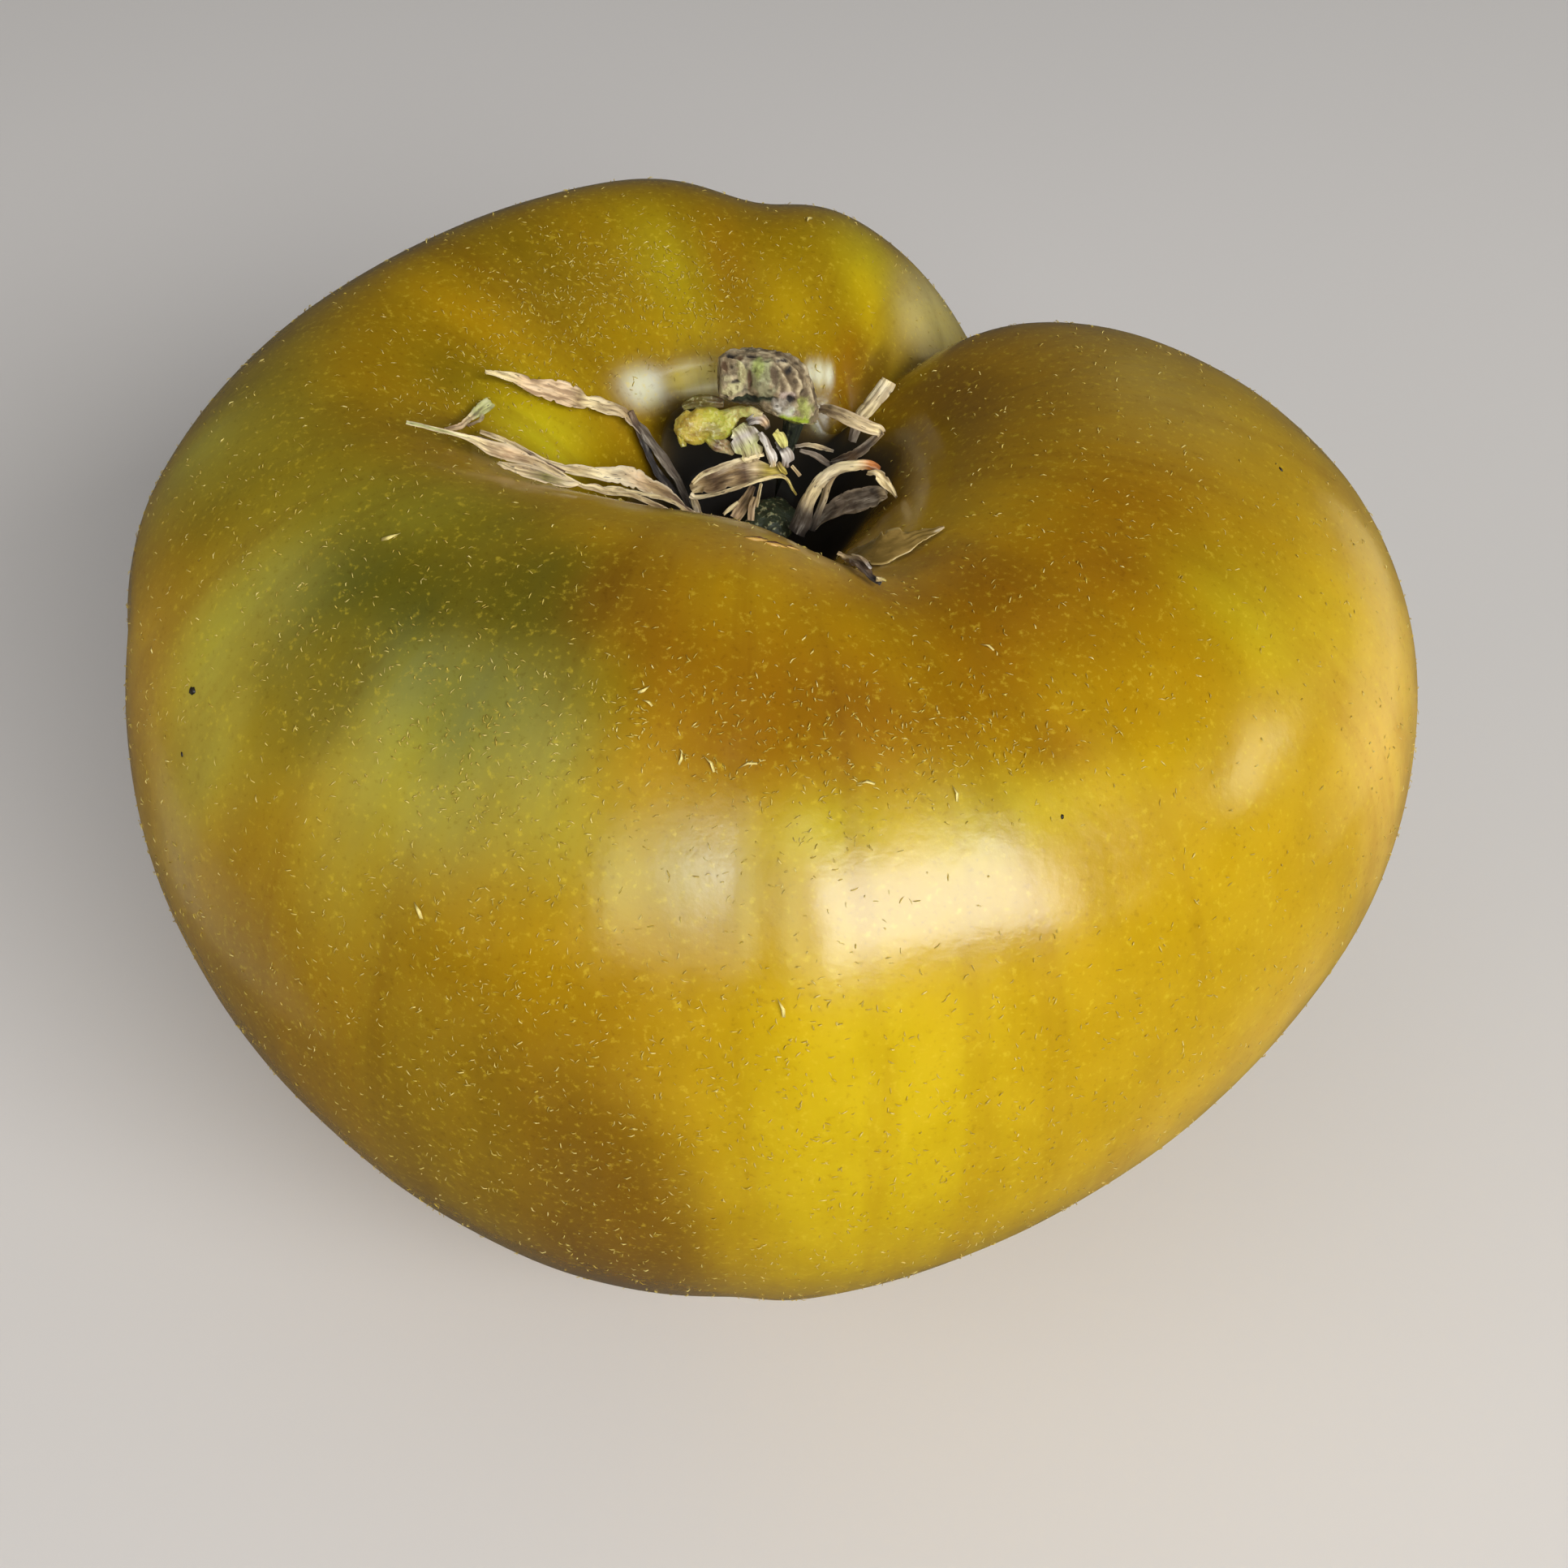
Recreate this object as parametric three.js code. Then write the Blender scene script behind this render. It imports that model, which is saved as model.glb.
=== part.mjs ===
// A large lobed beefsteak tomato lying on its blossom end, with its dried calyx.
// Millimetres, +X right, +Y to the back, +Z up. The fruit is one solid; the stem, the receptacle
// and every dried sepal are bodies of their own, held off the skin and off each other by a hair.
import * as THREE from 'three';
import { mergeVertices } from 'three/addons/utils/BufferGeometryUtils.js';

// ---------- driving dimensions of the fruit ----------
const CORE = { x: -2, y: 8 };                     // the upright line the lobes stand around
const PIT = { x: -2.5, y: 11, z: 56 };            // the bottom of the stem cavity
const PIT_FLOOR_RADIUS = 4;
const FOOT = { x: -3, y: 2.5, radius: 19, flatRadius: 9.5 };   // the blossom end it rests on
const AZIMUTH_STEPS = 72;
const RINGS_PER_STATION = 3;

// Eight sections, one every 45 degrees anticlockwise from +X: the right lobe and its back, the back
// lobe and its left, the left shoulder, and the front's left, middle and right.
const RIM_RADIUS = [18, 21, 25, 28, 26, 16, 13, 16];               // the crest round the stem cavity
const RIM_Z = [72, 70, 72, 73, 74, 75, 75, 73];
const GIRTH_RADIUS = [54, 52, 51, 47.5, 52, 50, 49, 50.5];         // the widest ring
const GIRTH_Z = [44, 42, 45, 46, 46, 43, 41, 43];
// How far the underside keeps out before it turns to the foot.
const FULLNESS = [0.72, 0.92, 1, 1, 0.72, 0.7, 0.74, 0.56];
// The cavity wall's foot and middle, as shares of the way out to the rim and up to it.
const WALL_FOOT_OUT = [0.4, 0.4, 0.38, 0.36, 0.4, 0.4, 0.4, 0.4];
const WALL_FOOT_UP = 0.1;
const WALL_OUT = [0.62, 0.6, 0.46, 0.44, 0.58, 0.62, 0.62, 0.62];
const WALL_UP = [0.62, 0.65, 0.7, 0.7, 0.65, 0.62, 0.62, 0.62];

// Between those, each profile's control points follow the same shares all round:
// [share of the rim's radius, share of the drop from rim to girth that is left],
const CREST = [0.95, 1.02];
// [share of the way out from rim to girth, share of that drop that is left],
const SHOULDER = [[0.3, 1.1], [0.72, 0.86], [1.02, 0.42]];
// [share of the girth's radius, share of its height],
const BELLY = [1.03, 0.82];
// [share of the way in from girth to foot, share of the girth's height].
const UNDERSIDE = [[0.15, 0.48], [0.38, 0.22], [0.68, 0.055]];

// Furrows between the lobes. Along the profile, station 0 is the cavity floor, 4 the crest, 8 the
// girth and 14 the middle of the foot. line: [station, azimuth, depth], where a depth below 0 raises
// the skin; left and right are the widths of the flanks in degrees.
const FURROWS = [
  { // the cleft between the back lobe and the right lobe
    left: 12, right: 12, sharp: true,
    line: [[0, 62, 0], [2.5, 62, 2], [4, 60, 10], [6, 56, 14], [8, 56, 7], [10, 58, 4], [13, 60, 0]],
  },
  { // the crease that runs out of the cavity at the front right
    left: 18, right: 16, sharp: true,
    line: [
      [0, 298, 0], [2, 298, 3], [3.5, 298, 9], [4.6, 300, 3.6], [5.6, 302, 1.1], [6.6, 303, 0.15],
      [8, 305, 0],
    ],
  },
  { // a dip in the back lobe
    left: 9, right: 8, sharp: false,
    line: [[3, 92, 0], [5, 91, 1.6], [7, 90, 3.2], [9, 90, 0]],
  },
  { // the fold low on the left side
    left: 7, right: 9, sharp: true,
    line: [[6.5, 190, 0], [8, 188, 4], [9, 190, 3.5], [10.5, 194, 0]],
  },
  { // a shallow furrow down the front
    left: 5, right: 10, sharp: false,
    line: [[5, 270, 0], [6, 268.5, 0.75], [7, 268, 0.9], [8.5, 267, 1], [11, 266, 0]],
  },
  { // a keel under the front
    left: 24, right: 24, sharp: false,
    line: [[7.5, 262, 0], [9.5, 260, -1.6], [11, 258, -2.4], [12.5, 258, 0]],
  },
];
const FURROW_FLOOR_ROUNDING = 0.25;               // of a flank's width
const FURROW_AIM = 0.6;                           // a furrow sinks towards this share of its height
const FURROW_AIM_MAX_Z = 40;

// ---------- driving dimensions of the stem and the calyx ----------
const STEM_SPINE = [                              // [x, y, z, radius], from the receptacle to the cut end
  [-0.4, 14.6, 60.8, 1.4], [0, 15.4, 63.4, 1.5], [0.5, 15.9, 66, 1.8], [0.4, 16.2, 68.7, 2.15],
  [-0.9, 16.5, 70.5, 2.3], [-3, 16.5, 70.9, 2.15], [-5.1, 16.3, 70.9, 1.9],
];
const STALK_SIDES = 12;
const STALK_LUMP = 0.06;                          // of its radius
const RECEPTACLE = {
  centre: { x: -1.2, y: 13.4 },
  profile: [[0, 60.2], [1.3, 60], [2.2, 59.4], [2.5, 58.6], [1.8, 57.7], [0, 57.3]],
};
const RECEPTACLE_SIDES = 20;
const RECEPTACLE_SHOULDER = 0.08;
const STRIP_THICKNESS = 0.5;
const STRIP_STEPS_PER_SPAN = 3;
const STRIP_SECTION = [[-0.5, 0], [-0.25, -0.5], [0.25, -0.5], [0.5, 0], [0.25, 0.5], [-0.25, 0.5]];

const SKIN = { colour: 0xa87f1a, roughness: 0.35 };
const CORK = { colour: 0x8c7a55, roughness: 0.9 };
const DARK_GREEN = { colour: 0x4c5228, roughness: 0.85 };
const YELLOW_GREEN = { colour: 0xb8b040, roughness: 0.7 };
const TAN = { colour: 0xb59a6a, roughness: 0.85 };
const CREAM = { colour: 0xd8c79a, roughness: 0.85 };
const GREY = { colour: 0x8a7f70, roughness: 0.85 };
const FILM = { colour: 0x8c6a34, roughness: 0.5 };

// Dried strips of the calyx. spine: [x, y, z, width], from the tip to the receptacle; faces: the way
// the flat side looks.
const STRIPS = [
  {
    name: 'sepal_upper_left', finish: TAN, faces: [0.5, -0.5, 0.7],
    spine: [
      [-22.9, 13.6, 73.5, 0.3], [-20.5, 15.4, 71.2, 1.2], [-18.1, 16, 69.8, 1.8], [-16.1, 16.6, 68.5, 1.5],
      [-14.4, 17.4, 67.3, 1.4], [-12.6, 17.9, 65.8, 1.1], [-11.4, 17.7, 64.2, 1.1], [-10, 17.1, 62.2, 1.1],
      [-8.5, 15.4, 60.6, 1], [-7.7, 13.8, 59.6, 0.6], [-6.2, 13.4, 58.8, 0.6], [-4.8, 13.2, 58.5, 0.6],
    ],
  },
  {
    name: 'sepal_lower_left', finish: TAN, faces: [0.3, -0.5, 0.8],
    spine: [
      [-27.2, 3.1, 76.8, 0.3], [-24.7, 3, 76.1, 0.4], [-22.4, 3, 75.2, 0.7], [-20.6, 2.8, 74.3, 1.2],
      [-18.6, 3.2, 73.2, 0.9], [-16.1, 3, 71.8, 0.5], [-14.1, 3.4, 70.5, 0.5], [-11.6, 6, 67.6, 0.5],
      [-9.1, 7.7, 64.6, 0.5], [-7.4, 8.8, 62.4, 0.5], [-6, 10, 60.6, 0.5], [-4.9, 11.1, 59.3, 0.5],
    ],
  },
  {
    name: 'sepal_lower_left_margin', finish: CREAM, faces: [0.3, -0.5, 0.8],
    spine: [
      [-22.7, 6.9, 73, 0.3], [-20.2, 7.1, 71.5, 0.5], [-17.9, 6.9, 70, 0.5], [-16.6, 7.2, 69.2, 0.8],
      [-14.8, 8.2, 68, 1], [-13.5, 9, 67.1, 1.3], [-12.2, 9.8, 66.2, 1.8], [-11.3, 10.6, 65.1, 1.8],
      [-10.4, 11.1, 64.1, 1.4], [-9, 11.4, 62.9, 0.9], [-7.8, 11.5, 61.4, 0.5], [-6.4, 11.8, 60, 0.5],
      [-5, 12.2, 59.1, 0.5],
    ],
  },
  {
    name: 'sepal_lower_left_under', finish: TAN, faces: [0.2, -0.3, 0.9],
    spine: [
      [-20.5, 0.5, 75.3, 0.4], [-19.4, -0.1, 75.3, 0.7], [-18.1, -0.3, 75, 1], [-16.9, -0.6, 74.9, 0.9],
      [-15.6, -0.9, 74.7, 0.6], [-14.7, -0.9, 74.6, 0.3],
    ],
  },
  {
    name: 'sepal_tip_cross', finish: TAN, faces: [0.3, -0.6, 0.8],
    spine: [[-22.5, 11.7, 72, 1], [-23, 10.2, 72.5, 0.9], [-23.6, 7.5, 73.6, 0.5], [-24.3, 5.4, 74.6, 0.4]],
  },
  {
    name: 'sepal_front', finish: TAN, faces: [0, -0.7, 0.7],
    spine: [
      [-7.5, 13.8, 61.5, 0.8], [-6, 13.3, 62.7, 1.7], [-3.7, 13.1, 63.8, 2], [-2.3, 12.9, 64.1, 1.7],
      [-0.5, 12.6, 64.1, 0.9],
    ],
  },
  {
    name: 'sepal_front_deep', finish: GREY, faces: [0, -0.7, 0.7],
    spine: [[-4.4, 13, 59.8, 1.2], [-3.4, 13.9, 60.5, 1.4], [-2.4, 14.6, 61.2, 1]],
  },
  {
    name: 'sepal_front_right', finish: CREAM, faces: [-0.3, -0.7, 0.6],
    spine: [
      [7.3, 11.3, 66.2, 0.8], [4.9, 11.1, 66.8, 1], [2.7, 11.2, 65.4, 1.3], [1.2, 11.1, 63, 1.4],
      [-0.2, 10.4, 60.5, 1],
    ],
  },
  {
    name: 'sepal_right', finish: GREY, faces: [-0.3, -0.7, 0.6],
    spine: [
      [7.7, 8.4, 66.8, 1.2], [7, 9, 66, 1.6], [5.6, 9.9, 64.6, 2], [4, 11.2, 62.4, 1.9], [1.7, 12.1, 60.2, 1],
    ],
  },
  {
    name: 'sepal_back_right', finish: CREAM, faces: [-0.5, -0.8, 0.3],
    spine: [[8.4, 19.7, 68.2, 1.3], [7.4, 19.4, 66.6, 1.4], [6.3, 18.7, 65, 1.3], [5, 17.9, 63.6, 1]],
  },
  {
    name: 'sepal_back_right_folded', finish: TAN, faces: [0, -0.7, 0.7],
    spine: [
      [3.7, 16.6, 67.5, 0.7], [4.8, 16, 67.9, 1.1], [6.6, 14.8, 67.8, 1.2], [7.4, 14.2, 67.1, 0.8],
      [6.4, 14.7, 65.5, 0.8], [4.9, 15.3, 63.4, 0.7],
    ],
  },
  {
    name: 'sepal_inner', finish: GREY, faces: [0, -0.7, 0.7],
    spine: [[4.3, 15.6, 64.4, 0.4], [3.5, 15.8, 64.6, 0.5], [2.8, 15.9, 64.7, 0.5]],
  },
  {
    name: 'receptacle_sheath', finish: GREY, faces: [0, -0.7, 0.7],
    spine: [
      [-3.1, 14.3, 67.4, 1.3], [-2.8, 13.9, 66.8, 2.2], [-2.5, 13.5, 66.1, 2.4], [-2.2, 13.2, 65.6, 1.4],
    ],
  },
  {
    name: 'receptacle_lobe', finish: YELLOW_GREEN, faces: [0, -0.7, 0.7], thickness: 1.1,
    spine: [
      [-8.7, 15.6, 66.7, 1.3], [-8, 15.4, 66.9, 2.4], [-7, 15.3, 67, 3], [-5.8, 15.4, 67, 3],
      [-4.9, 15.7, 67.1, 2.4], [-4.2, 16, 67.4, 1.4], [-3.6, 16, 67.7, 0.9],
    ],
  },
  {
    name: 'petal_scrap', finish: FILM, faces: [-0.3, -0.2, 0.9], thickness: 0.3,
    spine: [
      [11.5, -3, 72.5, 0.3], [10.7, -3.2, 72.3, 0.8], [9.9, -3.4, 72.2, 1.3], [8.8, -4.1, 72.1, 2],
      [7.8, -4.1, 71.8, 2.6], [6.7, -3.8, 71.1, 2.6], [5.9, -2.9, 70.1, 2.1], [5.3, -1.3, 68.6, 1.4],
      [4.8, 0.4, 67.1, 0.7],
    ],
  },
  {
    name: 'sepal_crumb', finish: GREY, faces: [0.1, 0.3, 0.9],
    spine: [
      [3.8, -6.1, 72.7, 0.5], [4.6, -6.6, 72.6, 0.9], [5.1, -8, 73.5, 0.9], [5.5, -9.7, 74.4, 0.8],
      [6, -10.6, 74.5, 0.6], [6.6, -11.2, 74.6, 0.5],
    ],
  },
];

const radians = THREE.MathUtils.degToRad;

/** Smooth value of a section dimension at an azimuth in degrees (periodic Catmull-Rom). */
function sectionValue(values, azimuth) {
  const count = values.length;
  const place = ((azimuth / 360) * count + count) % count;
  const first = Math.floor(place);
  const u = place - first;
  const [a, b, c, d] = [-1, 0, 1, 2].map((step) => values[(first + step + count) % count]);
  return b + 0.5 * u * (c - a + u * (2 * a - 5 * b + 4 * c - d + u * (3 * (b - c) + d - a)));
}

/** The control points of the profile at one azimuth, from the cavity floor to the foot. */
function profileControls(azimuth) {
  const rimRadius = sectionValue(RIM_RADIUS, azimuth);
  const rimZ = sectionValue(RIM_Z, azimuth);
  const girthRadius = sectionValue(GIRTH_RADIUS, azimuth);
  const girthZ = sectionValue(GIRTH_Z, azimuth);
  const fullness = sectionValue(FULLNESS, azimuth);
  const wallFootOut = sectionValue(WALL_FOOT_OUT, azimuth);
  const wallOut = sectionValue(WALL_OUT, azimuth);
  const wallUp = sectionValue(WALL_UP, azimuth);
  const away = new THREE.Vector3(Math.cos(radians(azimuth)), Math.sin(radians(azimuth)), 0);
  const around = (centre, radius, z) => (
    new THREE.Vector3(centre.x, centre.y, z).addScaledVector(away, radius)
  );
  const climb = rimZ - PIT.z;
  const drop = rimZ - girthZ;
  const shoulder = girthRadius - rimRadius;
  const girth = around(CORE, girthRadius, 0);
  const foot = around(FOOT, FOOT.radius, 0);
  const under = (share, z) => girth.clone().lerp(foot, share).setZ(z);
  return [
    around(PIT, 0, PIT.z),
    around(PIT, PIT_FLOOR_RADIUS, PIT.z),
    around(PIT, wallFootOut * rimRadius, PIT.z + WALL_FOOT_UP * climb),
    around(PIT, wallOut * rimRadius, PIT.z + wallUp * climb),
    around(CORE, CREST[0] * rimRadius, girthZ + CREST[1] * drop),
    ...SHOULDER.map(([out, left]) => around(CORE, rimRadius + out * shoulder, girthZ + left * drop)),
    around(CORE, BELLY[0] * girthRadius, BELLY[1] * girthZ),
    ...UNDERSIDE.map(([inward, up]) => under(Math.min(inward / fullness, 1), up * girthZ)),
    under(1, 0),
    around(FOOT, FOOT.flatRadius, 0),
    around(FOOT, 0, 0),
  ];
}

/** A point of the uniform cubic B-spline through control polygon `controls` at a station. */
function splinePoint(controls, station) {
  const last = controls.length - 1;
  const beyond = (end, inner) => end.clone().multiplyScalar(2).sub(inner);
  const points = [beyond(controls[0], controls[1]), ...controls, beyond(controls[last], controls[last - 1])];
  const first = Math.min(Math.floor(station), last - 1);
  const u = station - first;
  const weights = [
    (1 - u) ** 3,
    3 * u ** 3 - 6 * u ** 2 + 4,
    -3 * u ** 3 + 3 * u ** 2 + 3 * u + 1,
    u ** 3,
  ];
  const point = new THREE.Vector3();
  weights.forEach((weight, i) => point.addScaledVector(points[first + i], weight / 6));
  return point;
}

/** Azimuth and depth of a furrow at a station, straight lines between its listed points. */
function furrowAt(line, station) {
  const next = line.findIndex(([at]) => at >= station);
  if (next === -1) return line[line.length - 1].slice(1);
  if (next === 0) return line[0].slice(1);
  const [before, after] = [line[next - 1], line[next]];
  const share = (station - before[0]) / (after[0] - before[0]);
  return [1, 2].map((i) => THREE.MathUtils.lerp(before[i], after[i], share));
}

/** Sinks a skin point into every furrow that passes it. */
function carve(point, azimuth, station) {
  for (const { line, left, right, sharp } of FURROWS) {
    const [at, depth] = furrowAt(line, station);
    const turn = ((azimuth - at + 540) % 360) - 180;
    const away = Math.abs(turn) / (turn > 0 ? left : right);
    const fall = sharp
      ? Math.hypot(away, FURROW_FLOOR_ROUNDING) - FURROW_FLOOR_ROUNDING
      : away * away;
    const aimZ = Math.min(FURROW_AIM * point.z, FURROW_AIM_MAX_Z);
    const inward = new THREE.Vector3(CORE.x, CORE.y, aimZ).sub(point).normalize();
    point.addScaledVector(inward, depth * Math.exp(-fall));
  }
  return point;
}

/** Turns rows of points into a closed skin; the first and last rows are single points. */
function closedSkin(rows) {
  const positions = [];
  const triangle = (a, b, c) => positions.push(...a.toArray(), ...b.toArray(), ...c.toArray());
  for (let r = 0; r < rows.length - 1; r += 1) {
    const [upper, lower] = [rows[r], rows[r + 1]];
    const count = Math.max(upper.length, lower.length);
    for (let i = 0; i < count; i += 1) {
      const j = (i + 1) % count;
      if (lower.length > 1) triangle(upper[i % upper.length], lower[i], lower[j]);
      if (upper.length > 1) triangle(upper[i], lower[j % lower.length], upper[j]);
    }
  }
  const geometry = new THREE.BufferGeometry();
  geometry.setAttribute('position', new THREE.Float32BufferAttribute(positions, 3));
  const skin = mergeVertices(geometry, 1e-4);
  skin.computeVertexNormals();
  return skin;
}

/** Sepal, lobe or scrap: a flat strip along a spine of [x, y, z, width], turned to face `faces`. */
function stripGeometry({ spine, faces, thickness = STRIP_THICKNESS }) {
  const curve = new THREE.CatmullRomCurve3(spine.map(([x, y, z]) => new THREE.Vector3(x, y, z)));
  const front = new THREE.Vector3(...faces);
  const steps = (spine.length - 1) * STRIP_STEPS_PER_SPAN;
  const rows = [];
  for (let s = 0; s <= steps; s += 1) {
    const place = s / STRIP_STEPS_PER_SPAN;
    const before = Math.min(Math.floor(place), spine.length - 2);
    const width = THREE.MathUtils.lerp(spine[before][3], spine[before + 1][3], place - before);
    const depth = Math.min(thickness, width);
    const middle = curve.getPoint(s / steps);
    const along = curve.getTangent(s / steps);
    const across = new THREE.Vector3().crossVectors(along, front).normalize();
    const outward = new THREE.Vector3().crossVectors(across, along);
    rows.push(STRIP_SECTION.map(([a, b]) => middle.clone()
      .addScaledVector(across, a * width)
      .addScaledVector(outward, b * depth)));
    if (s === 0) rows.unshift([middle.clone()]);
    if (s === steps) rows.push([middle.clone()]);
  }
  return closedSkin(rows);
}

/** Stem: a lumpy round stalk along a spine of [x, y, z, radius], cut square at both ends. */
function stalkGeometry(spine) {
  const curve = new THREE.CatmullRomCurve3(spine.map(([x, y, z]) => new THREE.Vector3(x, y, z)));
  const steps = (spine.length - 1) * STRIP_STEPS_PER_SPAN;
  const frames = curve.computeFrenetFrames(steps);
  const rows = [];
  for (let s = 0; s <= steps; s += 1) {
    const place = s / STRIP_STEPS_PER_SPAN;
    const before = Math.min(Math.floor(place), spine.length - 2);
    const radius = THREE.MathUtils.lerp(spine[before][3], spine[before + 1][3], place - before);
    const middle = curve.getPoint(s / steps);
    const row = [];
    for (let i = 0; i < STALK_SIDES; i += 1) {
      const turn = (-2 * Math.PI * i) / STALK_SIDES;
      const lump = 1 + STALK_LUMP * Math.sin(3 * turn + s);
      row.push(middle.clone()
        .addScaledVector(frames.normals[s], lump * radius * Math.cos(turn))
        .addScaledVector(frames.binormals[s], lump * radius * Math.sin(turn)));
    }
    rows.push(row);
  }
  rows.unshift([curve.getPoint(0)]);
  rows.push([curve.getPoint(1)]);
  return closedSkin(rows);
}

/** Receptacle: the five-shouldered cushion the sepals grew from. */
function receptacleGeometry({ centre, profile }) {
  const rows = profile.map(([radius, z]) => {
    if (radius === 0) return [new THREE.Vector3(centre.x, centre.y, z)];
    return Array.from({ length: RECEPTACLE_SIDES }, (_, i) => {
      const turn = (2 * Math.PI * i) / RECEPTACLE_SIDES;
      const reach = radius * (1 + RECEPTACLE_SHOULDER * Math.cos(5 * turn));
      return new THREE.Vector3(centre.x + reach * Math.cos(turn), centre.y + reach * Math.sin(turn), z);
    });
  });
  return closedSkin(rows);
}

function fruitGeometry() {
  const controls = [];
  for (let i = 0; i < AZIMUTH_STEPS; i += 1) controls.push(profileControls((360 * i) / AZIMUTH_STEPS));
  const footStation = controls[0].length - 2;
  const ringAt = (station) => controls.map((polygon, i) => (
    carve(splinePoint(polygon, station), (360 * i) / AZIMUTH_STEPS, station)
  ));
  const rows = [[new THREE.Vector3(PIT.x, PIT.y, PIT.z)]];
  for (let r = 1; r <= footStation * RINGS_PER_STATION; r += 1) rows.push(ringAt(r / RINGS_PER_STATION));
  rows.push([new THREE.Vector3(FOOT.x, FOOT.y, 0)]);
  return closedSkin(rows);
}

const group = new THREE.Group();
group.name = 'tomato';

function add(name, geometry, { colour, roughness }) {
  const material = new THREE.MeshStandardMaterial({ color: colour, roughness, metalness: 0 });
  const mesh = new THREE.Mesh(geometry, material);
  mesh.name = name;
  group.add(mesh);
}

add('fruit', fruitGeometry(), SKIN);
add('stem', stalkGeometry(STEM_SPINE), CORK);
add('receptacle', receptacleGeometry(RECEPTACLE), DARK_GREEN);
for (const piece of STRIPS) add(piece.name, stripGeometry(piece), piece.finish);

// The origin is the middle of the footprint, on the surface the fruit rests on.
const box = new THREE.Box3().setFromObject(group);
const middle = box.getCenter(new THREE.Vector3());
group.position.set(-middle.x, -middle.y, -box.min.z);
group.updateMatrixWorld(true);

export default group;
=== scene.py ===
"""A half-ripe heirloom beefsteak tomato, resting on its blossom end with its dried calyx up.

Lengths in the tables below are millimetres in the fruit's own frame: +X right, +Y back, +Z up.
in_frame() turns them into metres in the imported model's frame. Azimuths are degrees anticlockwise
from +X, seen from above. Stations run along the skin: 0 is the bottom of the stem cavity, 4 the
crest, 8 the belly and 14 the middle of the foot.
"""
import math

import bpy
import numpy as np
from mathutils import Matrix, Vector, noise


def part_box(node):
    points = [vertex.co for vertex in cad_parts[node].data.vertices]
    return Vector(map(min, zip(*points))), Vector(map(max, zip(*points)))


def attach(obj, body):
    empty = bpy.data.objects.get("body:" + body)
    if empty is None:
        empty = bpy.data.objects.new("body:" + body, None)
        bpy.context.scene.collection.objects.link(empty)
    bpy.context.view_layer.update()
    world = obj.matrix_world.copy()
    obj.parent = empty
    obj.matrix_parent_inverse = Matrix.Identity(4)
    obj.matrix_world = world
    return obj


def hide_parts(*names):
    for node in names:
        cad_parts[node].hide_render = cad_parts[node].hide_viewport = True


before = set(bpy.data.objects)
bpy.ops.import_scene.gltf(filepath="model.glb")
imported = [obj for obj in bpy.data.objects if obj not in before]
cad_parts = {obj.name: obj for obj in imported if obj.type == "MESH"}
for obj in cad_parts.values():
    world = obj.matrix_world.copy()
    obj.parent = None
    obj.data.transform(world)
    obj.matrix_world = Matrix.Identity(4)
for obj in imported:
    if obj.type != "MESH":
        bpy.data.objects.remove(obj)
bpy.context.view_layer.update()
MM_PER_METRE = 1000

# ---------- the fruit's form ----------
CORE = (-2.0, 8.0)                  # the upright line the lobes stand around
PIT = (-2.5, 11.0, 56.0)            # the bottom of the stem cavity
PIT_FLOOR_RADIUS = 4.0
FOOT = (-3.0, 2.5)                  # the middle of the blossom end
FOOT_RADIUS = 19.0
FOOT_FLAT_RADIUS = 9.5
LAST_STATION = 14

# Eight sections, one every 45 degrees anticlockwise from +X.
RIM_RADIUS = (18, 21, 25, 28, 26, 16, 13, 16)
RIM_Z = (72, 70, 72, 73, 74, 75, 75, 73)
GIRTH_RADIUS = (54, 52, 51, 47.5, 52, 50, 49, 50.5)
GIRTH_Z = (44, 42, 45, 46, 46, 43, 41, 43)
FULLNESS = (0.72, 0.92, 1, 1, 0.72, 0.7, 0.74, 0.56)    # how full the underside stays

# The cavity wall, as shares of the way out to the rim and up to it: its foot and its middle.
WALL_FOOT_OUT = (0.4, 0.4, 0.38, 0.36, 0.4, 0.4, 0.4, 0.4)
WALL_FOOT_UP = 0.1
WALL_OUT = (0.62, 0.6, 0.46, 0.44, 0.58, 0.62, 0.62, 0.62)
WALL_UP = (0.62, 0.65, 0.7, 0.7, 0.65, 0.62, 0.62, 0.62)

# Shares that the control points of every profile follow.
CREST = (0.95, 1.02)
SHOULDER = ((0.3, 1.1), (0.72, 0.86), (1.02, 0.42))
BELLY = (1.03, 0.82)
UNDERSIDE = ((0.15, 0.48), (0.38, 0.22), (0.68, 0.055))

# Furrows: (width anticlockwise, width clockwise, sharp, ((station, azimuth, depth), ...)).
# The widths are in degrees. A depth below 0 is a keel.
FURROWS = (
    # the cleft between the back lobe and the right lobe
    (12, 12, True, ((0, 62, 0), (2.5, 62, 2), (4, 60, 10), (6, 56, 14), (8, 56, 7), (10, 58, 4),
                    (13, 60, 0))),
    # the crease that runs out of the cavity at the front right
    (18, 16, True, ((0, 298, 0), (2, 298, 3), (3.5, 298, 9), (4.6, 300, 3.6), (5.6, 302, 1.1),
                    (6.6, 303, 0.15), (8, 305, 0))),
    # a dip in the back lobe
    (9, 8, False, ((3, 92, 0), (5, 91, 1.6), (7, 90, 3.2), (9, 90, 0))),
    # the fold low on the left side
    (7, 9, True, ((6.5, 190, 0), (8, 188, 4), (9, 190, 3.5), (10.5, 194, 0))),
    # a shallow furrow down the front
    (5, 10, False, ((5, 270, 0), (6, 268.5, 0.75), (7, 268, 0.9), (8.5, 267, 1), (11, 266, 0))),
    # a keel under the front
    (24, 24, False, ((7.5, 262, 0), (9.5, 260, -1.6), (11, 258, -2.4), (12.5, 258, 0))),
)
FURROW_FLOOR_ROUNDING = 0.25        # of a flank's width
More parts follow.
